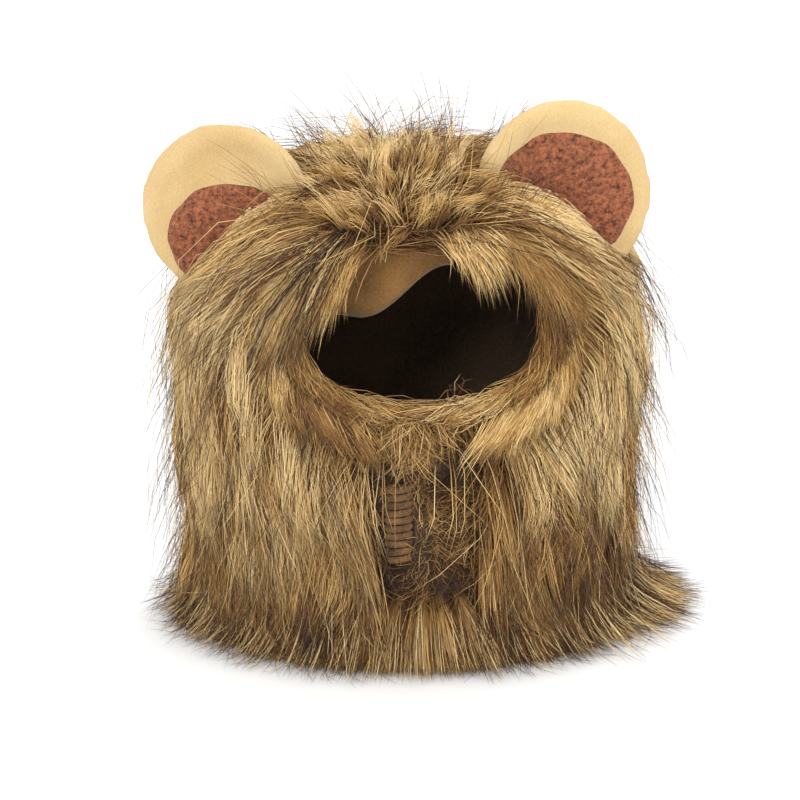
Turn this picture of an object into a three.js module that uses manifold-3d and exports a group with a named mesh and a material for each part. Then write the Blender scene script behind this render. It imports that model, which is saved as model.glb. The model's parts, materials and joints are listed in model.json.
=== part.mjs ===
// Lion mane costume hood for a cat or small dog, in millimetres, +Z up.
// It stands on its neck hem. The face opening looks along -Y and +X is to the viewer's right.
// The origin is the centre of the footprint's bounding box, on the floor.
import * as THREE from 'three';
import { mergeVertices } from 'three/addons/utils/BufferGeometryUtils.js';
import Module from 'manifold-3d';

const wasm = await Module();
wasm.setup();

// Hood cloth: the surface between the lining and the fur cloth
const HOOD_HEIGHT = 182;
const HOOD_HALF_WIDTH = 78;
const HOOD_FRONT_DEPTH = 54;
const HOOD_BACK_DEPTH = 56;
const LINING_WALL = 2;
const FUR_CLOTH_WALL = 3.4;
const SEAM_GAP = 0.35;

// Face opening, measured inside its rolled fur edge
const FACE_HALF_WIDTH = 47;
const FACE_HALF_HEIGHT = 28;
const FACE_CENTRE_X = 4;
const FACE_CENTRE_Z = 136.5;
const FACE_SQUARENESS = 2.6;
const ROLL_WIDTH = 9;
const ROLL_DEPTH = 12;

// Centre front: hook-and-loop closure with a fur tuft under it
const CLOSURE_LEFT_X = -14;
const CLOSURE_RIGHT_X = 26;
const CLOSURE_BOTTOM_Z = 30;
const CLOSURE_TOP_MARGIN = 3;
const CLOSURE_WALL = 2.2;
const TUFT_TOP_Z = 25;
const TAB_WIDTH = 11;
const TAB_HEIGHT = 32;
const TAB_CENTRE_X = -4.5;
const TAB_CENTRE_Z = 59;
const TAB_WALL = 2.4;
const TAB_RIBS = 7;
const TAB_RIB_DEPTH = 1.1;

// Seams of the fur cloth: a gusset over the crown and down the back
const GUSSET_HALF_WIDTH = 27;
const GUSSET_FRONT_Z = 138;

// Sagging brow lining behind the top of the face opening
const BROW_WALL = 1.6;
const BROW_LEFT_X = -37;
const BROW_RIGHT_X = 17;
const BROW_TOP_MARGIN = 4;
const BROW_DROP = 13;
const BROW_SAG = 25;
const BROW_SETBACK = 4;
const BROW_WAVE = 2.2;

// Locks of fur
const LOCK_LENGTH = 52;
const LOCK_WIDTH = 25;
const LOCK_THICKNESS = 10;
const LOCK_LOFT = 11;
const LOCK_STEPS = 3;
const FLOOR_SPLAY = 30;

// Ears
const EAR_RADIUS = 36.5;
const EAR_THICKNESS = 11;
const EAR_RIM_ROLL = 4.2;
const EAR_AHEAD = 6;
const EAR_PITCH = -7;
const PATCH_WALL = 1.3;

// Mesh fineness
const HOOD_SEGMENTS = 24;
const ROLL_SEGMENTS = 32;
const EAR_SEGMENTS = 20;

// The hood's horizontal sections, as shares of the height, the half width and the two depths.
const HOOD_SECTIONS = [
  { rise: 0.0, width: 1.05, front: 1.08, back: 1.12 },
  { rise: 0.1, width: 1.0, front: 1.01, back: 1.04 },
  { rise: 0.28, width: 0.97, front: 0.97, back: 0.98 },
  { rise: 0.46, width: 0.98, front: 0.97, back: 0.97 },
  { rise: 0.62, width: 1.0, front: 1.0, back: 1.0 },
  { rise: 0.75, width: 0.98, front: 0.94, back: 0.98 },
  { rise: 0.86, width: 0.89, front: 0.8, back: 0.89 },
  { rise: 0.94, width: 0.71, front: 0.6, back: 0.7 },
  { rise: 0.985, width: 0.42, front: 0.34, back: 0.41 },
  { rise: 1.0, width: 0.0, front: 0.0, back: 0.0 },
];
const APEX_LEVEL = HOOD_SECTIONS.length - 1;

// The ears. radius is a share of EAR_RADIUS, and patch, across and up are shares of the ear's own radius.
// out is a share of the hood's half width and high a share of its height. widen and patchWiden stretch
// the discs sideways. yaw and roll turn the ear, in degrees.
const EARS = [
  { side: 'left', radius: 0.99, widen: 1.02, out: -0.915, high: 0.93, yaw: -16, roll: 5,
    patch: 0.56, patchWiden: 1.22, across: -0.04, up: -0.22 },
  { side: 'right', radius: 1.09, widen: 0.95, out: 0.756, high: 0.963, yaw: 14, roll: -14,
    patch: 0.64, patchWiden: 1.1, across: 0.04, up: 0.06 },
];

// Rows of locks, from the hem up. level counts the sections above, angles run from the face to the right.
const LOCK_ROWS = [
  { level: 1.7, from: 26, to: 345, count: 14, length: 0.84, loft: 0.85, width: 1.1 },
  { level: 2.7, from: 34, to: 339, count: 12, length: 1.0, loft: 1.0, width: 1.05 },
  { level: 3.7, from: 48, to: 320, count: 11, length: 1.04, loft: 1.2, width: 1.05 },
  { level: 4.7, from: 66, to: 298, count: 8, length: 1.06, loft: 1.3, width: 1.1 },
  { level: 5.8, from: 92, to: 273, count: 6, length: 1.06, loft: 1.2, width: 1.1 },
  { level: 6.9, from: 135, to: 225, count: 3, length: 1.0, loft: 1.0, width: 1.15 },
];

// Locks that sweep from the brow over the lower inner part of each ear.
const SWEEP_LOCKS = [
  { angle: -34, level: 6.5, length: 1.1, loft: 1.35 },
  { angle: -50, level: 5.9, length: 1.1, loft: 1.3 },
  { angle: 40, level: 6.5, length: 1.1, loft: 1.35 },
  { angle: 55, level: 5.9, length: 1.1, loft: 1.3 },
];

// The crest that stands up between the ears. lean is sideways and tilt is forward travel, over climb.
const CREST_LOCKS = [
  { angle: -42, level: 7.1, lean: -0.8, tilt: 0.35, length: 0.85 },
  { angle: -18, level: 7.25, lean: -0.3, tilt: 0.25, length: 0.75 },
  { angle: 14, level: 7.25, lean: 0.12, tilt: 0.2, length: 0.72 },
  { angle: 44, level: 7.1, lean: 0.55, tilt: 0.35, length: 0.8 },
  { angle: 0, level: 8.2, lean: -0.1, tilt: -0.1, length: 0.6 },
  { angle: 110, level: 7.9, lean: 0.2, tilt: -0.7, length: 0.75 },
  { angle: 240, level: 7.9, lean: -0.25, tilt: -0.7, length: 0.75 },
];

// Locks that lie out on the floor round the hem. reach is a share of the floor splay.
const SPLAY_LOCKS = [
  { angle: 62, reach: 0.35 },
  { angle: 82, reach: 0.85 },
  { angle: 99, reach: 1.0 },
  { angle: 118, reach: 0.8 },
  { angle: 150, reach: 0.45 },
  { angle: 182, reach: 0.4 },
  { angle: 214, reach: 0.45 },
  { angle: 245, reach: 0.42 },
  { angle: 272, reach: 0.45 },
];

// The chest tuft's fan, from its top edge. lean is sideways travel over fall.
const TUFT_LOCKS = [
  { across: -0.36, lean: -0.42 },
  { across: -0.12, lean: -0.12 },
  { across: 0.12, lean: 0.1 },
  { across: 0.36, lean: 0.34 },
];

const UP = new THREE.Vector3(0, 0, 1);
const radians = THREE.MathUtils.degToRad;
const smooth = THREE.MathUtils.smoothstep;

// One smooth curve through each column of the section table.
function columnCurve(column) {
  const levels = HOOD_SECTIONS.map((_, index) => index);
  const values = HOOD_SECTIONS.map((section) => section[column]);
  const curve = new THREE.CubicInterpolant(levels, values, 1);
  return (level) => curve.evaluate(THREE.MathUtils.clamp(level, 0, APEX_LEVEL))[0];
}
const hoodShape = {
  rise: columnCurve('rise'),
  width: columnCurve('width'),
  front: columnCurve('front'),
  back: columnCurve('back'),
};

// A point of the hood cloth. angle is 0 at the face and grows to the viewer's right, in radians.
function clothPoint(angle, level) {
  const facing = Math.cos(angle);
  const depth = facing > 0
    ? HOOD_FRONT_DEPTH * hoodShape.front(level)
    : HOOD_BACK_DEPTH * hoodShape.back(level);
  return new THREE.Vector3(
    HOOD_HALF_WIDTH * hoodShape.width(level) * Math.sin(angle),
    -depth * facing,
    HOOD_HEIGHT * hoodShape.rise(level),
  );
}

// The cloth's two tangents and its outward normal.
function clothFrame(angle, level) {
  const turn = 0.01;
  const climb = 0.02;
  const at = Math.min(level, APEX_LEVEL - 2 * climb);
  const round = clothPoint(angle + turn, at).sub(clothPoint(angle - turn, at)).divideScalar(2 * turn);
  const upward = clothPoint(angle, at + climb).sub(clothPoint(angle, Math.max(0, at - climb)));
  upward.divideScalar(at + climb - Math.max(0, at - climb));
  const normal = round.clone().cross(upward).normalize();
  return { round, upward, normal };
}

function offsetPoint(angle, level, offset) {
  if (level >= APEX_LEVEL) {
    return new THREE.Vector3(0, 0, HOOD_HEIGHT + offset);
  }
  const { normal } = clothFrame(angle, level);
  const point = clothPoint(angle, level).addScaledVector(normal, offset);
  if (level === 0) point.z = 0;
  return point;
}

// The level of the cloth at a height, by halving.
function levelAtHeight(height) {
  let low = 0;
  let high = APEX_LEVEL;
  for (let step = 0; step < 30; step += 1) {
    const middle = (low + high) / 2;
    if (hoodShape.rise(middle) * HOOD_HEIGHT < height) low = middle;
    else high = middle;
  }
  return (low + high) / 2;
}

// The point of the hood's front above a place in the front view.
function frontPoint(x, z, offset = 0) {
  const level = levelAtHeight(z);
  const share = x / (HOOD_HALF_WIDTH * hoodShape.width(level));
  const angle = Math.asin(THREE.MathUtils.clamp(share, -0.97, 0.97));
  return offsetPoint(angle, level, offset);
}

// A closed body from rings of points: capped at both ends, or joined end to end.
function loft(rings, joined = false) {
  const sides = rings[0].length;
  const points = rings.flat();
  const triangles = [];
  const spans = joined ? rings.length : rings.length - 1;
  for (let ring = 0; ring < spans; ring += 1) {
    const here = ring * sides;
    const next = ((ring + 1) % rings.length) * sides;
    for (let side = 0; side < sides; side += 1) {
      const after = (side + 1) % sides;
      triangles.push(here + side, here + after, next + after, here + side, next + after, next + side);
    }
  }
  if (!joined) {
    const last = (rings.length - 1) * sides;
    for (let side = 1; side < sides - 1; side += 1) {
      triangles.push(0, side + 1, side, last, last + side, last + side + 1);
    }
  }
  const geometry = new THREE.BufferGeometry().setFromPoints(points);
  geometry.setIndex(triangles);
  return geometry;
}

// A closed solid for joining and cutting, with its faces turned outwards.
function solidOf(geometry) {
  const bare = geometry.clone();
  bare.deleteAttribute('normal');
  bare.deleteAttribute('uv');
  const merged = mergeVertices(bare, 1e-4);
  const vertProperties = new Float32Array(merged.attributes.position.array);
  const index = Array.from(merged.index.array);
  const kept = [];
  for (let at = 0; at < index.length; at += 3) {
    const [a, b, c] = index.slice(at, at + 3);
    if (a !== b && b !== c && c !== a) kept.push(a, b, c);
  }
  const build = (corners) => new wasm.Manifold(
    new wasm.Mesh({ numProp: 3, vertProperties, triVerts: new Uint32Array(corners) }),
  );
  const solid = build(kept);
  return solid.volume() > 0 ? solid : build(kept.reverse());
}

function geometryOf(solid) {
  const mesh = solid.getMesh();
  const geometry = new THREE.BufferGeometry();
  geometry.setAttribute('position', new THREE.BufferAttribute(new Float32Array(mesh.vertProperties), 3));
  geometry.setIndex(Array.from(mesh.triVerts));
  return geometry;
}

function joinAll(solids) {
  return solids.reduce((whole, solid) => whole.add(solid));
}

// The largest of the loose bodies that a cut leaves.
function mainBody(solid) {
  return solid.decompose().reduce((best, body) => (body.volume() > best.volume() ? body : best));
}

function block(lowX, highX, lowY, highY, lowZ, highZ) {
  const geometry = new THREE.BoxGeometry(highX - lowX, highY - lowY, highZ - lowZ);
  geometry.translate((lowX + highX) / 2, (lowY + highY) / 2, (lowZ + highZ) / 2);
  return solidOf(geometry);
}

const REACH = 2 * HOOD_HEIGHT;
const aboveFloor = block(-REACH, REACH, -REACH, REACH, 0, REACH);

// The hood's levels that get a ring of points.
const ringLevels = [0, 1, 2.5, 4, 5, 6, 7, 8];

function hoodRing(level, offset) {
  return Array.from({ length: HOOD_SEGMENTS }, (_, segment) => (
    offsetPoint((2 * Math.PI * segment) / HOOD_SEGMENTS, level, offset)
  ));
}

// A closed dome with a flat base, grown outwards from the cloth by the offset.
function domeSolid(offset) {
  const rings = ringLevels.map((level) => hoodRing(level, offset));
  const apex = offsetPoint(0, APEX_LEVEL, offset);
  rings.push(Array.from({ length: HOOD_SEGMENTS }, () => apex.clone()));
  return solidOf(loft(rings));
}

// A shell between two offsets, open at the neck.
function hoodShell(inner, outer) {
  const core = domeSolid(inner);
  const socket = core.add(core.translate([0, 0, -1]));
  return domeSolid(outer).subtract(socket);
}

// The face opening's outline in the front view, grown by a margin.
function facePlace(turn, margin) {
  const reach = (size, share) => size * Math.sign(share) * Math.abs(share) ** (2 / FACE_SQUARENESS);
  return {
    x: FACE_CENTRE_X + reach(FACE_HALF_WIDTH + margin, Math.cos(turn)),
    z: FACE_CENTRE_Z + reach(FACE_HALF_HEIGHT + margin, Math.sin(turn)),
  };
}

function facePrism(margin) {
  const outline = Array.from({ length: ROLL_SEGMENTS }, (_, step) => (
    facePlace((2 * Math.PI * step) / ROLL_SEGMENTS, margin)
  ));
  const ring = (y) => outline.map(({ x, z }) => new THREE.Vector3(x, y, z));
  return solidOf(loft([ring(-REACH), ring(0)]));
}

// The rolled fur edge round the face opening.
function faceRoll() {
  const rings = Array.from({ length: ROLL_SEGMENTS }, (_, step) => {
    const turn = (2 * Math.PI * step) / ROLL_SEGMENTS;
    const middle = facePlace(turn, ROLL_WIDTH / 2);
    const outside = facePlace(turn, ROLL_WIDTH);
    const seat = frontPoint(middle.x, middle.z).y;
    const centre = new THREE.Vector3(middle.x, seat - FUR_CLOTH_WALL / 2, middle.z);
    const outward = new THREE.Vector3(outside.x - middle.x, 0, outside.z - middle.z);
    return [0, 60, 120, 180, 240, 300].map((degrees) => {
      const spin = radians(degrees);
      return centre.clone()
        .addScaledVector(outward, Math.cos(spin))
        .add(new THREE.Vector3(0, (-ROLL_DEPTH / 2) * Math.sin(spin), 0));
    });
  });
  return solidOf(loft(rings, true));
}

const brow = frontPoint(FACE_CENTRE_X - 8, FACE_CENTRE_Z + FACE_HALF_HEIGHT);

// The way the pile lies at a point: away from the brow near the face, and down elsewhere.
function combDirection(point, normal) {
  const away = point.clone().sub(brow);
  const spread = away.length() / HOOD_HALF_WIDTH;
  const facing = smooth(-point.y, -0.4 * HOOD_FRONT_DEPTH, 0.9 * HOOD_FRONT_DEPTH);
  const share = Math.max(facing * (1 - smooth(spread, 0.5, 1.25)), 0.75 * (1 - smooth(spread, 0.3, 0.9)));
  const comb = away.normalize().multiplyScalar(share).addScaledVector(UP, share - 1 - 0.15 * share);
  return comb.addScaledVector(normal, -comb.dot(normal)).normalize();
}

// One tapered lock along a path, flattened against the cloth. Each path step has a place and a normal.
function lockSolid(path, width, thickness) {
  const swell = [0.85, 1, 0.82, 0.14];
  const rings = path.map(({ place, normal }, step) => {
    const before = path[Math.max(0, step - 1)].place;
    const after = path[Math.min(path.length - 1, step + 1)].place;
    const along = after.clone().sub(before).normalize();
    const across = along.clone().cross(normal).normalize();
    const out = across.clone().cross(along).normalize();
    const half = (width / 2) * swell[step];
    const rise = (thickness / 2) * swell[step];
    return [[1, -0.6], [0, 1], [-1, -0.6]].map(([sideways, outwards]) => (
      place.clone().addScaledVector(across, sideways * half).addScaledVector(out, outwards * rise)
    ));
  });
  return solidOf(loft(rings));
}

// Walks over the cloth along the comb, and out over the floor once it passes the hem.
function combPath(startAngle, startLevel, length, loftHeight, splay = 0) {
  let angle = startAngle;
  let level = startLevel;
  let onFloor = 0;
  const stride = length / LOCK_STEPS;
  const path = [];
  for (let step = 0; step <= LOCK_STEPS; step += 1) {
    const share = step / LOCK_STEPS;
    const { round, upward, normal } = clothFrame(angle, level);
    const point = clothPoint(angle, level);
    const lift = FUR_CLOTH_WALL * 0.5 + loftHeight * Math.sin(Math.min(1, share * 1.25) * Math.PI * 0.5);
    const flat = new THREE.Vector3(normal.x, normal.y, 0).normalize();
    const place = point.clone().addScaledVector(onFloor > 0 ? flat : normal, lift + onFloor);
    if (onFloor > 0) place.z = LOCK_THICKNESS * 0.35;
    path.push({ place, normal: onFloor > 0 ? UP.clone().lerp(flat, 0.35).normalize() : normal });
    const comb = combDirection(point, normal).multiplyScalar(stride);
    angle += comb.dot(round) / round.lengthSq();
    const climb = comb.dot(upward) / upward.lengthSq();
    if (level + climb < 0) {
      const left = (1 - level / -climb) * stride;
      onFloor += level > 0 ? left * splay : stride * splay;
      level = 0;
    } else {
      level += climb;
    }
  }
  return path;
}

// A small regular unevenness, so that no two neighbouring locks match.
function uneven(seed, amount) {
  return 1 + amount * Math.sin(seed * 2.4) * Math.cos(seed * 0.9);
}

function rowLocks() {
  return LOCK_ROWS.flatMap((row, rowIndex) => Array.from({ length: row.count }, (_, index) => {
    const last = row.count - 1;
    const shift = rowIndex % 2 === 1 && index < last ? 0.35 : 0;
    const angle = radians(THREE.MathUtils.lerp(row.from, row.to, (index + shift) / last));
    const seed = index + 7 * rowIndex;
    const length = LOCK_LENGTH * row.length * uneven(seed, 0.12);
    const loftHeight = LOCK_LOFT * row.loft * uneven(seed + 3, 0.16);
    const path = combPath(angle, row.level, length, loftHeight, 0.5);
    return lockSolid(path, LOCK_WIDTH * row.width * uneven(seed + 5, 0.12), LOCK_THICKNESS);
  }));
}

function sweepLocks() {
  return SWEEP_LOCKS.map(({ angle, level, length, loft: loftShare }) => {
    const path = combPath(radians(angle), level, LOCK_LENGTH * length, LOCK_LOFT * loftShare);
    return lockSolid(path, LOCK_WIDTH, LOCK_THICKNESS);
  });
}

function crestLocks() {
  return CREST_LOCKS.map(({ angle, level, lean, tilt, length }) => {
    const root = clothPoint(radians(angle), level);
    const heading = new THREE.Vector3(lean, -tilt, 1).normalize();
    const stride = (LOCK_LENGTH * length) / LOCK_STEPS;
    const facing = new THREE.Vector3(0, -1, 0);
    const path = Array.from({ length: LOCK_STEPS + 1 }, (_, step) => (
      { place: root.clone().addScaledVector(heading, step * stride), normal: facing }
    ));
    return lockSolid(path, LOCK_WIDTH * 0.9, LOCK_THICKNESS * 1.4);
  });
}

function splayLocks() {
  return SPLAY_LOCKS.map(({ angle, reach }) => {
    const fall = hoodShape.rise(1.4) * HOOD_HEIGHT;
    const length = fall + FLOOR_SPLAY * reach;
    const path = combPath(radians(angle), 1.4, length, LOCK_LOFT * 0.95, 1);
    return lockSolid(path, LOCK_WIDTH, LOCK_THICKNESS);
  });
}

// Ears: a padded cup with a rolled rim, and a velour patch on its front.
function earPlacement(ear) {
  const turn = new THREE.Euler(radians(EAR_PITCH), 0, radians(ear.yaw), 'ZXY');
  const roll = new THREE.Matrix4().makeRotationY(radians(-ear.roll));
  const place = [HOOD_HALF_WIDTH * ear.out, -EAR_AHEAD, HOOD_HEIGHT * ear.high];
  return new THREE.Matrix4().makeRotationFromEuler(turn).multiply(roll).setPosition(...place);
}

// A profile turned about the ear's own axis, which then points out of its front face, along -Y.
function turned(profile, widen) {
  const geometry = new THREE.LatheGeometry(profile.map(([r, w]) => new THREE.Vector2(r, w)), EAR_SEGMENTS);
  geometry.rotateX(Math.PI);
  geometry.scale(widen, 1, 1);
  return geometry;
}

function earCup(ear) {
  const r = EAR_RADIUS * ear.radius;
  const back = -EAR_THICKNESS;
  const profile = [
    [0, back],
    [0.5 * r, back * 0.93],
    [0.82 * r, back * 0.66],
    [0.96 * r, back * 0.3],
    [r, 0.0],
    [0.97 * r, EAR_RIM_ROLL * 0.7],
    [0.9 * r, EAR_RIM_ROLL],
    [0.82 * r, EAR_RIM_ROLL * 0.7],
    [0.7 * r, 0.0],
    [0, -2.2],
  ];
  return solidOf(turned(profile, ear.widen).applyMatrix4(earPlacement(ear)));
}

// The room that an ear and its patch need in the pile.
function earRoom(ear) {
  const r = EAR_RADIUS * ear.radius + SEAM_GAP;
  const back = -EAR_THICKNESS - SEAM_GAP;
  const front = EAR_RIM_ROLL + PATCH_WALL + 2 * SEAM_GAP;
  const profile = [
    [0, back],
    [0.5 * r, back * 0.95],
    [0.84 * r, back * 0.7],
    [r, back * 0.25],
    [r, front],
    [0, front],
  ];
  return solidOf(turned(profile, ear.widen).applyMatrix4(earPlacement(ear)));
}

function earPatch(ear, cup) {
  const earRadius = EAR_RADIUS * ear.radius;
  const r = earRadius * ear.patch;
  const back = -0.8 * EAR_THICKNESS;
  const profile = [[0, back], [r, back], [r, EAR_RIM_ROLL + PATCH_WALL], [0, EAR_RIM_ROLL + PATCH_WALL]];
  const shift = new THREE.Matrix4().makeTranslation(ear.across * earRadius, 0, ear.up * earRadius);
  const column = solidOf(turned(profile, ear.patchWiden).applyMatrix4(earPlacement(ear).multiply(shift)));
  const forward = new THREE.Vector3(0, -1, 0).transformDirection(earPlacement(ear));
  const moved = (distance) => cup.translate(forward.clone().multiplyScalar(distance).toArray());
  return mainBody(moved(SEAM_GAP + PATCH_WALL).intersect(column).subtract(moved(SEAM_GAP)));
}

// The ribbed, overcast end of the fastening tab.
function closureTab() {
  const half = TAB_WIDTH / 2;
  const rows = 3 * TAB_RIBS;
  const rings = Array.from({ length: rows + 1 }, (_, row) => {
    const share = row / rows;
    const z = TAB_CENTRE_Z + TAB_HEIGHT * (0.5 - share);
    const rib = row % 3 === 0 ? 0 : TAB_RIB_DEPTH;
    const taper = 1 - 0.25 * Math.abs(2 * share - 1) ** 4;
    const seat = frontPoint(TAB_CENTRE_X, z, CLOSURE_WALL + 2 * SEAM_GAP).y;
    const back = seat + TAB_WALL;
    const front = seat - TAB_WALL - rib;
    return [
      [-half, back],
      [half, back],
      [half, front + TAB_RIB_DEPTH],
      [half * 0.55, front],
      [-half * 0.55, front],
      [-half, front + TAB_RIB_DEPTH],
    ].map(([across, y]) => new THREE.Vector3(TAB_CENTRE_X + across * taper, y, z));
  });
  return solidOf(loft(rings)).subtract(domeSolid(CLOSURE_WALL + 2 * SEAM_GAP));
}

// The chest tuft's locks, which fan out as they fall to the floor.
function tuftLocks() {
  const span = CLOSURE_RIGHT_X - CLOSURE_LEFT_X;
  const middle = (CLOSURE_RIGHT_X + CLOSURE_LEFT_X) / 2;
  return TUFT_LOCKS.map(({ across, lean }) => {
    const path = Array.from({ length: LOCK_STEPS + 1 }, (_, step) => {
      const share = step / LOCK_STEPS;
      const z = (TUFT_TOP_Z - 2) * (1 - 1.05 * share);
      const x = middle + across * span * 0.8 + lean * share * TUFT_TOP_Z;
      const offset = FUR_CLOTH_WALL * 0.5 + LOCK_LOFT * 0.8 * Math.sin(share * Math.PI * 0.5);
      const place = frontPoint(x, Math.max(z, 0), offset);
      place.z = z;
      return { place, normal: new THREE.Vector3(0, -1, 0) };
    });
    return lockSolid(path, LOCK_WIDTH * 0.7, LOCK_THICKNESS);
  });
}

// The loose fold of brow lining: it hangs from inside the crown, its lower edge climbs from left to right.
function browLining() {
  const columns = 10;
  const top = FACE_CENTRE_Z + FACE_HALF_HEIGHT + ROLL_WIDTH + BROW_TOP_MARGIN;
  const rings = Array.from({ length: columns + 1 }, (_, column) => {
    const share = column / columns;
    const x = THREE.MathUtils.lerp(BROW_LEFT_X, BROW_RIGHT_X, share);
    const sag = 0.5 + 0.5 * Math.cos(Math.PI * smooth(share, 0.35, 0.95));
    const bottom = top - BROW_DROP - BROW_SAG * sag;
    const wave = BROW_WAVE * Math.sin(share * Math.PI * 2.4);
    const seat = frontPoint(x, top, -LINING_WALL - SEAM_GAP);
    const face = (extra) => [0, 0.35, 0.7, 1].map((fall) => {
      const y = seat.y + (BROW_SETBACK + wave) * fall + extra;
      return new THREE.Vector3(x, y, THREE.MathUtils.lerp(seat.z, bottom, fall));
    });
    return [...face(0), ...face(BROW_WALL).reverse()];
  });
  return solidOf(loft(rings));
}

// Pieces before they are parted from each other
const lining = hoodShell(-LINING_WALL, 0);
const furCloth = hoodShell(SEAM_GAP, FUR_CLOTH_WALL);
const edge = facePrism(ROLL_WIDTH + SEAM_GAP);
const earSeat = domeSolid(FUR_CLOTH_WALL + SEAM_GAP);
const liningCore = domeSolid(-LINING_WALL - SEAM_GAP);
const ears = EARS.map((ear) => ({ ear, whole: earCup(ear) }));

const roll = faceRoll();

const closureTop = FACE_CENTRE_Z - FACE_HALF_HEIGHT - ROLL_WIDTH - CLOSURE_TOP_MARGIN;
const centreFront = block(CLOSURE_LEFT_X, CLOSURE_RIGHT_X, -REACH, 0, -1, closureTop);
const gussetZone = (gap) => joinAll([
  block(-GUSSET_HALF_WIDTH - gap, GUSSET_HALF_WIDTH + gap, -gap, REACH, -1, REACH),
  block(-GUSSET_HALF_WIDTH - gap, GUSSET_HALF_WIDTH + gap, -REACH, REACH, GUSSET_FRONT_Z - gap, REACH),
]);

const fur = joinAll([furCloth, ...rowLocks(), ...sweepLocks(), ...crestLocks(), ...splayLocks()])
  .subtract(domeSolid(SEAM_GAP).add(domeSolid(SEAM_GAP).translate([0, 0, -1])))
  .subtract(joinAll([edge, ...EARS.map(earRoom)]))
  .intersect(aboveFloor);
const sides = fur.subtract(centreFront).subtract(gussetZone(SEAM_GAP));
const halfPlane = (side) => (side < 0
  ? block(-REACH, FACE_CENTRE_X - SEAM_GAP / 2, -REACH, REACH, -1, REACH)
  : block(FACE_CENTRE_X + SEAM_GAP / 2, REACH, -REACH, REACH, -1, REACH));

const strip = block(
  CLOSURE_LEFT_X + SEAM_GAP, CLOSURE_RIGHT_X - SEAM_GAP, -REACH, 0, CLOSURE_BOTTOM_Z, closureTop - SEAM_GAP,
);
const tuftSpace = block(CLOSURE_LEFT_X + SEAM_GAP, CLOSURE_RIGHT_X - SEAM_GAP, -REACH, 0, 0, TUFT_TOP_Z);
const closureStrip = hoodShell(SEAM_GAP, CLOSURE_WALL + SEAM_GAP).intersect(strip);
const chestTuft = joinAll([furCloth, ...tuftLocks()])
  .subtract(domeSolid(SEAM_GAP).add(domeSolid(SEAM_GAP).translate([0, 0, -1])))
  .intersect(tuftSpace);

const SHADES = {
  pile: { color: 0xa8854f, roughness: 0.78 },
  crest: { color: 0xb4935e, roughness: 0.78 },
  roll: { color: 0x9c7340, roughness: 0.8 },
  tape: { color: 0x3a2618, roughness: 0.95 },
  tab: { color: 0x8a6238, roughness: 0.9 },
  lining: { color: 0x3b2a1c, roughness: 0.92 },
  velour: { color: 0xe3c583, roughness: 0.88 },
  patch: { color: 0x8a4b35, roughness: 0.93 },
};

const group = new THREE.Group();
function addPiece(name, solid, shade) {
  const material = new THREE.MeshStandardMaterial({ ...SHADES[shade], metalness: 0 });
  const mesh = new THREE.Mesh(geometryOf(solid), material);
  mesh.name = name;
  group.add(mesh);
}

addPiece('hood_lining', mainBody(lining.subtract(edge)), 'lining');
addPiece('brow_lining', mainBody(browLining().intersect(liningCore)), 'velour');
addPiece('fur_left', mainBody(sides.intersect(halfPlane(-1))), 'pile');
addPiece('fur_right', mainBody(sides.intersect(halfPlane(1))), 'pile');
addPiece('fur_gusset', mainBody(fur.intersect(gussetZone(0))), 'crest');
addPiece('face_roll', roll, 'roll');
addPiece('closure_strip', mainBody(closureStrip), 'tape');
addPiece('closure_tab', mainBody(closureTab()), 'tab');
addPiece('chest_tuft', mainBody(chestTuft), 'crest');
for (const { ear, whole } of ears) {
  const cup = mainBody(whole.subtract(earSeat));
  addPiece(`ear_${ear.side}`, cup, 'velour');
  addPiece(`ear_${ear.side}_patch`, mainBody(earPatch(ear, whole).subtract(earSeat)), 'patch');
}

// The origin moves to the bottom centre of the whole hood.
const extent = new THREE.Box3().setFromObject(group);
const centre = extent.getCenter(new THREE.Vector3());
group.position.set(-centre.x, -centre.y, -extent.min.z);

export default group;
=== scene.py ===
# %% [markdown]
# # A lion mane hood for a pet
# A soft hood with the mane and the ears of a lion: a dark lining, a coat of long fur with black tips, a
# rolled edge round the face, two stuffed velour ears with terry patches, and a hook-and-loop closure at
# the chest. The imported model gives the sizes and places. It is loaded first, and everything after it is
# built around it.

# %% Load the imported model
import json
import math

import bmesh
import bpy
import numpy as np
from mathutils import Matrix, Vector
from mathutils.bvhtree import BVHTree
from mathutils.kdtree import KDTree

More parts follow.
